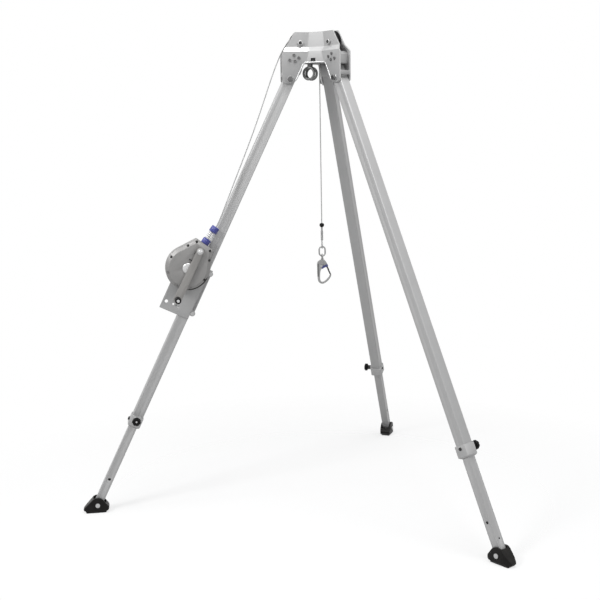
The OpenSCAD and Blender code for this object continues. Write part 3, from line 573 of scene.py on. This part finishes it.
def makeRope():
    land = sheavePoint(sheaveR, sheaveZ, sheaves["pitch"], rope["lands"])
    before = legFrame("winch").to_3x3() @ Vector((sin(rope["tangent"]), 0, -cos(rope["tangent"])))
    run = [winchFrame @ Vector((x, winch["ropeOff"], z)) for x, z in winchRoute]
    run += [legFrame("winch") @ Vector(p) for p in legRoute]
    run += [land + before * d for d in rope["leadIn"]]
    climbing = laidRope("rope_up_the_leg", spline(run, 0.004))
    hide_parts("rope_run")
    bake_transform(climbing)
    arc = [sheavePoint(sheaveR, sheaveZ, sheaves["pitch"], a) for a in range(rope["lands"], 91, 3)]
    arc += [sheavePoint(sheaves["drop"], dropZ, sheaves["drop"], a) for a in range(90, 181, 6)]
    crossing = laidRope("rope_over_sheaves", arc)
    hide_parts("rope_over")
    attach(crossing, "head")
    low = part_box("rope_drop")[0].z
    hanging = laidRope("rope_hanging", [Vector((0, 0, dropZ)), Vector((0, 0, low))])
    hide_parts("rope_drop")
    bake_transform(hanging)
    wound = laidRope("rope_on_drum", drumTurns())
    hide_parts("rope_winding")
    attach(wound, "drum")


makeRope()
print("rope laid")


# buffer spring between the blue guide and the blue cap

spring = {
    "low": 0.158, "high": 0.195, "radius": 0.0145, "wire": 0.0014, "sides": 10, "steps": 40,
    "open": 3.4, "closed": 0.9, "packed": 2.1,  # packed is the rise of a closed turn, in wire radii
}


def makeSpring():
    points = []
    wire, closed, packed = spring["wire"], spring["closed"], spring["packed"]
    turns = spring["open"] + 2 * closed
    rise = spring["high"] - spring["low"] - 2 * wire - 2 * closed * wire * packed
    count = int(turns * spring["steps"])
    for i in range(count + 1):
        t = turns * i / count
        h = min(t, closed) * wire * packed + max(0, t - turns + closed) * wire * packed
        h += rise * min(max((t - closed) / spring["open"], 0), 1)
        a = 2 * pi * t
        x, y = spring["radius"] * cos(a), winch["ropeOff"] + spring["radius"] * sin(a)
        points.append(winchFrame @ Vector((x, y, spring["low"] + wire + h)))
    verts, faces = [], []
    tubeMesh(verts, faces, points, wire, spring["sides"])
    made = newPiece("spring_coil", verts, faces, finish["polished"], 70)
    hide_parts("buffer_spring")
    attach(made, "leg_winch")
    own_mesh(made)


makeSpring()
print("spring wound")


# head plates: bent sheet with rounded bends and rims

plate = {
    "thick": 0.006, "wingOut": 0.0325, "joggle": 0.014, "bend": 0.0024, "rim": 0.0009,
    "panelOut": (0.0622, 0.0550, 0.0442, 0.0404),  # the centre panel leans in towards its top
    "cutRise": 0.0102, "joggleLow": 0.0375, "joggleHigh": 0.0175, "topRise": 0.048,
    "legEdge": (0.006, 0.026), "corner": 0.011, "shoulder": (0.035, 0.046), "peakIn": 0.026,
    "innerLobe": ((-0.004, 0), 0.020, range(206, 270, 8)),
    "outerLobe": ((0.017, -0.002), 0.018, range(270, 361, 10)),
    "bead": 0.004, "beadDeep": 0.0003, "beadLift": 0.0016, "paintedLightSlope": 0.35,
}


def plateHeights():  # the cut-out's top, both ends of the joggle, and the top edge
    cut = pivotZ + sheaves["swing"] + plate["cutRise"]
    return cut, sheaveZ - plate["joggleLow"], sheaveZ - plate["joggleHigh"], sheaveZ + plate["topRise"]


def lobe(middle, r, angles):  # rounded end below the leg's pivot, as radius and height
    x, z = pivotR + middle[0], pivotZ + middle[1]
    return [Vector((x + r * cos(radians(a)), z + r * sin(radians(a)))) for a in angles]


def cutOut(cut):  # the wing's edge, from the top of the cut-out down the leg's side to the pivot
    up, inset = plate["legEdge"]
    low = (pivotR - up * sin(lean) - inset * cos(lean), pivotZ + up * cos(lean) - inset * sin(lean))
    high = Vector((low[0] - (cut - low[1]) * tan(lean), cut))
    ease = plate["corner"]
    start = Vector((high.x - ease, cut))
    end = Vector((high.x + ease * sin(lean), cut - ease * cos(lean)))
    corner = [start.lerp(high, k / 6).lerp(high.lerp(end, k / 6), k / 6) for k in range(7)]
    return corner + [Vector(low)] + lobe(*plate["innerLobe"])


def panelHalf(out, back):  # half the panel's width, out to where it meets the wing
    return sqrt(3) * out - 2 * (plate["wingOut"] - back)


def plateShape():
    heights = plateHeights()
    cut, joggleLow, joggleHigh, top = heights
    backs = (0.0, plate["joggle"], plate["joggle"])
    innerRim = cutOut(cut)
    shoulder = Vector((pivotR + plate["shoulder"][0], sheaveZ - plate["shoulder"][1]))
    peak = Vector((pivotR - plate["peakIn"], top))
    slope = (peak - shoulder) / (peak.y - shoulder.y)
    outer = [shoulder + slope * (z - shoulder.y) for z in (joggleLow, joggleHigh)] + [peak]
    shape = bmesh.new()
    panel = []
    for z, back, out in zip(heights, (0.0,) + backs, plate["panelOut"]):
        half = panelHalf(out, back)
        panel.append([shape.verts.new((out, -half, z)), shape.verts.new((out, half, z))])
    for a, b in zip(panel, panel[1:]):
        shape.faces.new((a[0], a[1], b[1], b[0]))
    for side in (-1, 1):
        turn = spinZ(60 * side)
        column = [row[0] if side < 0 else row[1] for row in panel]

        def wingVert(p, back=0.0):
            return shape.verts.new(turn @ Vector((p.x, -side * (plate["wingOut"] - back), p.y)))

        corner = [wingVert(p, back) for p, back in zip(outer, backs)]
        low = [wingVert(p) for p in innerRim + lobe(*plate["outerLobe"]) + [shoulder]]
        shape.faces.new([column[0]] + low + [corner[0], column[1]])
        shape.faces.new((column[1], corner[0], corner[1], column[2]))
        shape.faces.new((column[2], corner[1], corner[2], column[3]))

    def fromLowMiddle(face):
        mid = face.calc_center_median()
        return mid.y ** 2 + (mid.z - cut) ** 2

    shape.normal_update()
    bmesh.ops.recalc_face_normals(shape, faces=shape.faces)
    if min(shape.faces, key=fromLowMiddle).normal.x < 0:
        bmesh.ops.reverse_faces(shape, faces=shape.faces)
    roundOver(shape, [e for e in shape.edges if len(e.link_faces) == 2], plate["bend"], 4)

    deep = plate["wingOut"] - plate["thick"] / 2 + plate["beadDeep"]  # middle of the sheet
    left, right = [[spinZ(60 * side) @ Vector((p.x, -side * deep, p.y)) for p in innerRim] for side in (-1, 1)]
    half = panelHalf(plate["panelOut"][0], 0.0)
    foot = [Vector((plate["panelOut"][0] - plate["thick"] / 2, y, cut)) for y in (-half, half)]
    return shape, left[::-1] + foot + right


def beadRadius(t):
    return plate["bead"] * taper(t, 0.3, 7)


def makePlate(node, facing):
    shape, path = plateShape()
    bmesh.ops.transform(shape, matrix=spinZ(facing), verts=shape.verts)
    mesh = bpy.data.meshes.new(node + "_bent")
    shape.to_mesh(mesh)
    shape.free()
    made = placed(node + "_bent", mesh)
    mesh.materials.append(finish["plate"])
    mesh.materials.append(finish["edge"])
    solid = made.modifiers.new("thick", "SOLIDIFY")
    solid.thickness, solid.offset, solid.use_even_offset = plate["thick"], -1, True
    # the rim faces take the bright edge finish, partly painted reflection
    solid.material_offset_rim = 1
    rim = made.modifiers.new("rim", "BEVEL")
    rim.width, rim.segments, rim.limit_method, rim.angle_limit = plate["rim"], 3, "ANGLE", radians(50)
    baked(made, 24)
    for face in made.data.polygons:  # painted light: the joggle's up-facing slope gets the bright edge finish, brighter than the faces above and below it
        if face.normal.z > plate["paintedLightSlope"]:
            face.material_index = 1
    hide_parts(node)
    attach(made, "head")
    verts, faces = [], []
    edge = evenly([spinZ(facing) @ p for p in path], 0.002)
    for k in range(3):  # corners eased
        edge = [edge[0]] + [(a + 2 * b + c) / 4 for a, b, c in zip(edge, edge[1:], edge[2:])] + [edge[-1]]
    lift = Vector((0, 0, plate["beadLift"]))  # off the cut edge, into the sheet
    tubeMesh(verts, faces, [p + lift for p in edge], beadRadius, 14)
    bead = newPiece(node + "_edge_bead", verts, faces, finish["edge"], 60)
    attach(bead, "head")


plugs = {
    "facing": 240, "z": 2.0535, "size": (0.0095, 0.0130), "along": (-0.0140, -0.0030), "deep": 0.0035,
    "stand": 0.28, "edge": 0.0011, "border": 0.0014, "recess": 0.0008,
}


def makePlugs():  # two square black plugs low on the front panel, standing on its sloping face
    low, high = plate["panelOut"][:2]
    cut, top = plateHeights()[:2]
    out = low + (high - low) * (plugs["z"] - cut) / (top - cut)
    tilt = Matrix.Rotation(-atan2(low - high, top - cut), 4, "Y")
    for k, along in enumerate(plugs["along"]):
        shape = bmesh.new()
        bmesh.ops.create_cube(shape, size=1)
        bmesh.ops.scale(shape, vec=(plugs["deep"], *plugs["size"]), verts=shape.verts)
        roundOver(shape, shape.edges[:], plugs["edge"], 3)
        front = max(shape.faces, key=lambda f: f.calc_center_median().x)
        bmesh.ops.inset_region(shape, faces=[front], thickness=plugs["border"], depth=-plugs["recess"])
        spot = Matrix.Translation((out + plugs["deep"] * plugs["stand"], along, plugs["z"]))
        bmesh.ops.transform(shape, matrix=spinZ(plugs["facing"]) @ spot @ tilt, verts=shape.verts)
        made = fromBmesh("panel_plug_%d" % k, shape, finish["black"])
        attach(made, "head")


makePlugs()
makePlate("head_plate_front", 240)
makePlate("head_plate_right", 0)
makePlate("head_plate_rear", 120)
print("head plates bent")


# pieces that keep the frame's shape and get their real edges

softened = {  # node: finish, edge width
    "leg_stop_blocks": ("cast", 0.0012), "block_bolts": ("greySteel", 0.0006), "tie_bars": ("plate", 0.001),
    "leg_pivot_bolts": ("steel", 0.0009), "sheave_axle_bolts": ("steel", 0.0009),
    "sheave_cheeks": ("plate", 0.0005), "drop_sheave_axle": ("steel", 0.0005), "anchor_plate": ("plate", 0.001),
    "winch_bracket": ("cast", 0.0009), "bracket_pins": ("steel", 0.0008), "housing_back": ("housing", 0.001),
    "housing_cover": ("housing", 0.0008), "housing_screws": ("dark", 0.0005), "crank_arm": ("arm", 0.001),
    "crank_shaft": ("steel", 0.0006), "rope_drum": ("cast", 0.0006), "drum_gear": ("steel", 0.0003),
    "sheave_winch": ("black", 0.0006), "sheave_right": ("black", 0.0006), "sheave_back": ("black", 0.0006),
    "drop_sheave": ("black", 0.0005),
}
for leg in stance["legs"]:
    softened["leg_fittings_" + leg] = ("tube_" + leg, 0.001)
    softened["outer_tube_" + leg] = ("tube_" + leg, 0.0005)
    softened["inner_tube_" + leg] = ("tube_" + leg, 0.0004)
    softened["foot_bolt_" + leg] = ("steel", 0.001)
for node, (look, width) in softened.items():
    made = softEdges(node, finish[look], width)
    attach(made, bodyOf(node))
print("edges softened:", len(softened))

ends = {  # how far off the leg's middle each of these begins
    "washer": 0.0358, "pivotNut": 0.0447, "sheaveNut": 0.0277, "hub": (0.1072, 0.114), "gripPin": 0.1583,
    "barrel": -0.0292, "lockPin": 0.0352,
    "lowScrews": -0.02,  # this one is up from the winch's middle
}


def inLeg(leg, p):
    return legFrame(leg).inverted() @ p


def nearLeg(p):  # the point in the frame of the leg it lies closest to
    return min((inLeg(leg, p) for leg in stance["legs"]), key=lambda q: hypot(q.x, q.y))


painted = [  # node, finish, test
    ("leg_pivot_bolts", "greySteel", lambda c: abs(nearLeg(c).y) > ends["washer"]),
    ("leg_pivot_bolts", "dark", lambda c: abs(nearLeg(c).y) > ends["pivotNut"]),
    ("sheave_axle_bolts", "dark", lambda c: abs(nearLeg(c).y) > ends["sheaveNut"]),
    ("housing_screws", "housing", lambda c: (winchFrame.inverted() @ c).z < ends["lowScrews"]),
    ("crank_arm", "polished", lambda c: inLeg("winch", c).y > ends["gripPin"]),
    ("crank_arm", "edge", lambda c: ends["hub"][0] < inLeg("winch", c).y < ends["hub"][1]),
]
for leg in stance["legs"]:  # lock barrel and the pin's far end
    painted.append(("leg_fittings_" + leg, "dark",
                    lambda c, leg=leg: not ends["barrel"] <= inLeg(leg, c).y <= ends["lockPin"]))
for node, look, test in painted:
    paintFaces(bpy.data.objects[node + "_soft"], finish[look], test)
print("bolt ends painted")


# turned pieces: profiles of radius and height in millimetres, about an axis that points off the leg's face

outward = Matrix.Rotation(radians(-90), 4, "X")

knob = {
    "off": 0.050, "down": 1.705, "flutes": {"from": 0.0168, "depth": 0.0019, "count": 7},
    "head": [(0, 0), (11, 0), (11.6, 1), (12, 4), (16.6, 5.4), (18.6, 6.8), (20, 9.4), (20, 15.6),
             (19.2, 18), (17.2, 19.6), (6.6, 20), (5.2, 18.6), (0, 18.5)],
    "disc": [(0, 18.4), (4.6, 18.4), (4.6, 19.1), (4.0, 19.7), (0, 19.9)],
    "pin": [(0, -30.6), (4.8, -30.6), (6, -29.4), (6, 1), (0, 1)],
}
for leg in stance["legs"]:
    place = legFrame(leg) @ Matrix.Translation((0, knob["off"], -knob["down"])) @ outward
    made = joinInto("pull_knob_" + leg, [
        lathe("head", knob["head"], place, finish["black"], 84, 30, knob["flutes"]),
        lathe("disc", knob["disc"], place, finish["steel"], 32),
        lathe("pin", knob["pin"], place, finish["dark"], 32)])
    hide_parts("lock_knob_" + leg)
    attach(made, "knob_" + leg)
print("knobs turned")

boltSocket = [(0, 26), (7.6, 26), (7.6, 27), (6.8, 27.5), (4.6, 27.5), (4, 26.9), (0, 26.9)]
for leg, facing in stance["legs"].items():  # dark socket in the middle of each sheave bolt's head
    place = spinZ(facing) @ Matrix.Translation((sheaveR, 0, sheaveZ)) @ outward
    made = lathe("bolt_socket_" + leg, boltSocket, place, finish["dark"], 32)
    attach(made, "head")

guide = {
    "flutes": {"from": 0.0186, "depth": 0.0007, "count": 18},
    "low": [(5, 126), (7.9, 126), (7.9, 132), (16.4, 132), (17.6, 132.5), (18.6, 133.6), (19, 135),
            (19, 154), (18.7, 155.6), (17.6, 157.5), (16.4, 158), (5, 158), (5, 126)],
    "cap": [(4, 195), (16.4, 195), (17.6, 195.5), (18.6, 196.6), (19, 198), (19, 219), (18.8, 220.8),
            (17.8, 222.8), (16, 224), (8, 224), (6.4, 222.6), (4, 222.6), (4, 195)],
}
for name, node, key in (("guide_low", "outlet_guide", "low"), ("guide_cap", "buffer_cap", "cap")):
    place = winchFrame @ Matrix.Translation((0, winch["ropeOff"], 0))
    made = lathe(name, guide[key], place, finish["blue"], 108, 30, guide["flutes"])
    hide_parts(node)
    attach(made, bodyOf(node))

drumCap = [(0, 60), (12, 60), (12, 92), (24, 92), (24, 93.4), (23.2, 94.4), (20, 95.8), (14, 97),
           (4, 97.6), (0, 97.6)]
made = lathe("drum_axle_cap", drumCap, winchFrame @ outward, finish["polished"], 64)
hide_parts("centre_cap")
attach(made, bodyOf("centre_cap"))

crank = {
    "place": legFrame("winch") @ Matrix.Translation((0.05811, 0, -0.86997)), "end": (0.004, 0, -0.237),
    "nut": [(0, 112), (9.6, 112), (9.6, 115), (8.6, 117.2), (6, 118.8), (3, 119.6), (0, 119.8)],
    "grip": [(6.1, 108), (11.4, 108), (12.6, 108.6), (13.8, 110.4), (14, 112), (13.5, 117), (13.4, 119),
             (12.9, 119.6), (12.9, 120.6), (13.3, 121.2), (13.1, 128), (12.6, 128.6), (12.6, 129.6),
             (13.2, 130.2), (13.3, 137), (12.8, 137.6), (12.8, 138.6), (13.5, 139.2), (14.3, 147), (14.5, 150),
             (14, 154), (13, 156.8), (11.4, 158), (8, 158), (7.2, 157.2), (6.1, 157.2), (6.1, 108)],
}
made = lathe("crank_hub_nut", crank["nut"], crank["place"] @ outward, finish["polished"], 40)
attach(made, bodyOf("crank_arm"))
place = crank["place"] @ Matrix.Translation(crank["end"]) @ outward
made = lathe("crank_handle", crank["grip"], place, finish["black"], 48)
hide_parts("crank_grip")
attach(made, bodyOf("crank_grip"))

faceScrew = {
    "shape": [(0, 91.6), (3.4, 91.6), (3.4, 92.9), (2.7, 93.8), (1.5, 93.9), (1.5, 93), (0, 93)],
    "places": ((0.0166, 0.0382), (0.0082, 0.0386), (0.0124, 0.0741)),
}
for k, (x, z) in enumerate(faceScrew["places"]):
    place = winchFrame @ Matrix.Translation((x, 0, z)) @ outward
    made = lathe("face_screw_%d" % k, faceScrew["shape"], place, finish["dark"], 20)
    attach(made, bodyOf("housing_cover"))
print("winch pieces turned")

# a dark strip that paints the housing's shadow along the cover's lower edge
paintedShadow = {
    "from": 170, "to": 236, "radius": 0.0974, "off": 0.08195, "half": 0.0031, "rise": 0.0009, "sink": 0.0006,
    "steps": 44, "across": (-0.8, 0.6), "face": (0.6, 0.8),  # across the bevel and off it, as radius and height
}


def makePaintedShadow():  # painted shadow: a dark strip along the lower edge of the cover's bevel, where the housing's shade falls, thinning out to its ends
    slope, face = Vector(paintedShadow["across"]), Vector(paintedShadow["face"])
    rise, sink = paintedShadow["rise"], -paintedShadow["sink"]
    section = ((-1, sink), (-1, 0.4 * rise), (-0.7, rise), (0.7, rise), (1, 0.4 * rise), (1, sink))
    verts, faces = [], []
    for i in range(paintedShadow["steps"] + 1):
        t = i / paintedShadow["steps"]
        a = radians(paintedShadow["from"] + (paintedShadow["to"] - paintedShadow["from"]) * t)
        wide = paintedShadow["half"] * taper(t, 0.25, 6)
        for across, up in section:
            q = Vector((paintedShadow["radius"], paintedShadow["off"])) + slope * (wide * across) + face * up
            verts.append(winchFrame @ Vector((q.x * cos(a), q.y, q.x * sin(a))))
    n = len(section)
    for i in range(paintedShadow["steps"]):
        for k in range(n):
            j = (k + 1) % n
            faces.append((n * i + k, n * i + j, n * i + n + j, n * i + n + k))
    faces += [tuple(reversed(range(n))), tuple(n * paintedShadow["steps"] + k for k in range(n))]
    made = newPiece("cover_paintedShadow", verts, faces, finish["rubber"])
    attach(made, bodyOf("housing_cover"))


makePaintedShadow()

lug = {
    "place": (0.0285, 0.004, -1.716),
    "shape": [(0, -1), (8.6, -1), (8.6, 5.4), (7.6, 7.4), (4.6, 8.6), (0, 8.8)],
}
place = legFrame("winch") @ Matrix.Translation(lug["place"]) @ Matrix.Rotation(radians(90), 4, "Y")
made = lathe("collar_lug", lug["shape"], place, finish["dark"], 32)
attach(made, bodyOf("leg_fittings_winch"))
print("seal and lug fitted")


# line end: stopper, pressed sleeve with its eye, link and hook

line = {
    "ball": 1.306, "sleeve": 1.235, "eyeLow": 1.1986, "hook": 1.1625,
    "stopper": [(2.7, 9.5), (4.6, 9.5), (5.6, 9.1), (7.4, 8.1), (9, 6.3), (10.2, 4.1), (10.85, 1.8), (11, 0.5),
                (10.6, 0.2), (10.6, -0.2), (11, -0.5), (10.7, -2.2), (9.8, -4.4), (8.3, -6.6), (6.4, -8.6),
                (4.8, -9.5), (2.7, -9.5), (2.7, 9.5)],
    "ferrule": [(0, 0), (4.4, 0), (5.2, 1.2), (5.6, 4), (5.6, 8), (5.1, 9), (5.1, 11), (5.6, 12), (5.6, 16),
                (5.1, 17), (5.1, 19), (5.6, 20), (5.6, 24), (5.1, 25), (5.1, 27), (5.6, 28), (5.6, 40),
                (4.6, 46), (4.2, 50), (4.2, 61.5), (0, 61.5)],
}
made = lathe("rope_stopper", line["stopper"], Matrix.Translation((0, 0, line["ball"])), finish["black"], 48)
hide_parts("stopper_ball")
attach(made, bodyOf("stopper_ball"))

eye = {  # rope and thimble: bend radius, and how far the ends reach into the sleeve
    "rope": (0.0089, 0.0105), "thimble": (0.0074, 0.0040), "wire": 0.0019, "sides": 10,
    "ease": 0.0085, "together": 0.0022, "neck": 0.25, "bends": 24, "step": 0.0016,
}


def makeEye():  # rope bent round a thimble below the pressed sleeve
    mid = (line["eyeLow"] + line["sleeve"]) / 2
    straight = (line["sleeve"] - line["eyeLow"]) / 2 - eye["ease"]

    def loop(r, reach):
        angles = [-pi / 2 + pi * k / eye["bends"] for k in range(eye["bends"] + 1)]
        bend = [Vector((0, r * sin(a), -straight - r * cos(a))) for a in angles]
        tips = [Vector((0, eye["together"] * side, straight + reach)) for side in (1, -1)]
        neck = [Vector((0, r * side, straight * eye["neck"])) for side in (1, -1)]
        path = [tips[1], neck[1]] + bend + [neck[0], tips[0]]
        return [Vector((0, 0, mid)) + p for p in spline(path, eye["step"])]

    sleeve = lathe("sleeve", line["ferrule"], Matrix.Translation((0, 0, line["sleeve"])), finish["hook"], 40)
    bent = laidRope("bent", loop(*eye["rope"]))
    verts, faces = [], []
    tubeMesh(verts, faces, loop(*eye["thimble"]), eye["wire"], eye["sides"])
    made = joinInto("pressed_eye", [sleeve, bent, newPiece("thimble", verts, faces, finish["polished"], 60)])
    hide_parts("rope_termination")
    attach(made, bodyOf("rope_termination"))


makeEye()
made = softEdges("hook_eye", finish["hook"], 0.0006)
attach(made, bodyOf("hook_eye"))

hook = {
    "half": 0.006, "step": 0.0012,
    "outline": [  # runs of points in millimetres, across and below the hook's top, each run one smooth curve
        [(-9, -18), (9, -18)],
        [(9, -18), (17, -28), (24, -40), (26, -50)],
        [(26, -50), (14, -53), (2, -56.5), (-7, -64), (-11, -76), (-12.5, -100), (-11, -113), (-7, -119.6),
         (-1, -122), (7, -120.5), (18, -113), (28, -102), (34, -93), (35.5, -89.8)],
        [(35.5, -89.8), (41.5, -87.3)],
        [(41.5, -87.3), (39.6, -96), (33, -108), (21, -120.4), (9, -128), (-1, -131), (-11, -128.6),
         (-19, -121), (-22.5, -108), (-24, -84), (-24, -60), (-24, -34), (-21.6, -27), (-17, -23), (-9, -18)]],
    # round parts as radius, bottom and top, square ones as two corners, all below the hook's top
    "neck": (0.007, 0.0417, 0.018), "bore": (0.00475, 0.048, 0.0),
    "window": ((-0.0085, -0.02, 0.049), (0.0085, 0.02, 0.042)),
    "slot": ((0.0076, -0.0034, 0.058), (0.0376, 0.0034, 0.0375)),
    "paintedShadeSpine": (-0.0176, 0.096, 0.036),  # stretch of the back painted darker as shade: across, bottom and top
}


def box(low, high):
    shape = bmesh.new()
    bmesh.ops.create_cube(shape, size=1)
    for v in shape.verts:
        v.co = Vector([(a + b) / 2 + c * (b - a) for a, b, c in zip(low, high, v.co)])
    return shape


def rod(radius, low, high):
    shape = bmesh.new()
    middle = Matrix.Translation((0, 0, (low + high) / 2))
    bmesh.ops.create_cone(shape, cap_ends=True, segments=40, radius1=radius, radius2=radius,
                          depth=high - low, matrix=middle)
    return shape


def makeHook():
    top = line["hook"]

    def hookRod(key):
        radius, low, high = hook[key]
        return fromBmesh(key, rod(radius, top - low, top - high), finish["hook"])

    def hookBox(key):
        low, high = [(x, y, top - down) for x, y, down in hook[key]]
        return fromBmesh(key, box(low, high), finish["hook"])

    rim = []
    for run in hook["outline"]:
        rim += spline([Vector((x * mm, 0, top + z * mm)) for x, z in run], hook["step"])[:-1]
    shape = bmesh.new()
    front = [shape.verts.new(p - Vector((0, hook["half"], 0))) for p in rim]
    back = [shape.verts.new(p + Vector((0, hook["half"], 0))) for p in rim]
    shape.faces.new(front)
    shape.faces.new(list(reversed(back)))
    for k in range(len(rim)):
        j = (k + 1) % len(rim)
        shape.faces.new((front[j], front[k], back[k], back[j]))
    tools = [("UNION", hookRod("neck")), ("DIFFERENCE", hookRod("bore")),
             ("DIFFERENCE", hookBox("window")), ("DIFFERENCE", hookBox("slot"))]
    made = moulded("hook_body", finish["hook"], 0.0006, 14, shape, tools)
    across, low, high = hook["paintedShadeSpine"]
    # painted shade: faces on the hook's left side over this stretch get the darker grey steel
    paintFaces(made, finish["greySteel"], lambda c: c.x < across and top - low < c.z < top - high)
    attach(made, bodyOf("hook_body"))


makeHook()
for node, look in (("hook_gate", "dark"), ("hook_lever", "lever")):
    made = moulded(node, finish[look], 0.0004, 8)
    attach(made, bodyOf(node))
made = moulded("anchor_eyes", finish["greySteel"], 0.0009, 4)
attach(made, bodyOf("anchor_eyes"))
for leg in stance["legs"]:
    made = moulded("foot_" + leg, finish["rubber"], 0.0012, 18)
    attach(made, bodyOf("foot_" + leg))
print("line end and shoes moulded")

nodes["link"].data.materials.clear()
nodes["link"].data.materials.append(finish["hook"])
print("finishes given")


# floor, lamps and white surround

studio = {
    "half": 40, "drop": 0.0005, "pale": 0.88, "matte": 0.45, "sky": (0.34, 0.343, 0.348), "aim": (0, 0, 1.1),
    "clear": (0.72, 1.0), "fade": (1.05, 2.0),  # the shadow stays under the object, the rest runs out to white
    "lamps": {
        "keyLamp": {"place": (-4.7, -3.2, 5.0), "size": 1.7, "power": 240.0},
        "topLamp": {"place": (0.2, -1.3, 6.6), "size": 2.6, "power": 225.0},
        "fillLamp": {"place": (4.2, -4.6, 3.2), "size": 2.6, "power": 60.0},
    },
}


def larger(tree, first, second):
    return knot(tree, "Math", {0: first, 1: second}, operation="MAXIMUM").outputs[0]


def seenDirectly(tree):  # 1 for the camera and for what metal mirrors, 0 for light that falls on the object
    path = knot(tree, "LightPath").outputs
    mirrored = larger(tree, path["Is Camera Ray"], path["Is Glossy Ray"])
    return larger(tree, mirrored, path["Is Transmission Ray"])


def eitherWay(tree, share, first, second):
    return knot(tree, "MixShader", {0: share, 1: first.outputs[0], 2: second.outputs[0]})


def makeFloor():
    h = studio["half"]
    corners = [(-h, -h, 0), (h, -h, 0), (h, h, 0), (-h, h, 0)]
    floor = newPiece("studioFloor", corners, [(0, 1, 2, 3)], blank("paleFloor")[0])
    floor.location.z = -studio["drop"]
    tree = floor.data.materials[0].node_tree
    tree.nodes.clear()
    out = knot(tree, "OutputMaterial")
    spot = knot(tree, "TexCoord").outputs["Object"]
    away = knot(tree, "VectorMath", {0: spot}, operation="LENGTH").outputs["Value"]
    share = spread(tree, away, *studio["clear"], *studio["fade"])
    pale = knot(tree, "BsdfDiffuse", {"Color": (*grey(studio["pale"]), 1)})
    clear = knot(tree, "BsdfTransparent", {"Color": (1, 1, 1, 1)})  # keeps feet below the floor in sight
    matte = knot(tree, "BsdfDiffuse", {"Color": (*grey(studio["matte"]), 1)})
    mix = eitherWay(tree, seenDirectly(tree), matte, eitherWay(tree, share, pale, clear))
    tree.links.new(mix.outputs[0], out.inputs["Surface"])


def makeSurround():
    world = bpy.data.worlds.new("studio")
    bpy.context.scene.world = world
    world.use_nodes = True
    tree = world.node_tree
    tree.nodes.clear()
    out = knot(tree, "OutputWorld")
    soft = knot(tree, "Background", {"Color": (*studio["sky"], 1), "Strength": 1.0})
    white = knot(tree, "Background", {"Color": (1, 1, 1, 1), "Strength": 1.0})
    mix = eitherWay(tree, seenDirectly(tree), soft, white)
    tree.links.new(mix.outputs[0], out.inputs["Surface"])


def makeLamps():
    for name, lamp in studio["lamps"].items():
        data = bpy.data.lights.new(name, "AREA")
        data.shape, data.size, data.energy = "SQUARE", lamp["size"], lamp["power"]
        made = placed(name, data)
        made.location = lamp["place"]
        aim = Vector(studio["aim"]) - Vector(lamp["place"])
        made.rotation_euler = aim.to_track_quat("-Z", "Y").to_euler()


makeFloor()
makeSurround()
makeLamps()
bpy.context.scene.view_settings.view_transform = "Standard"
print("studio lit")
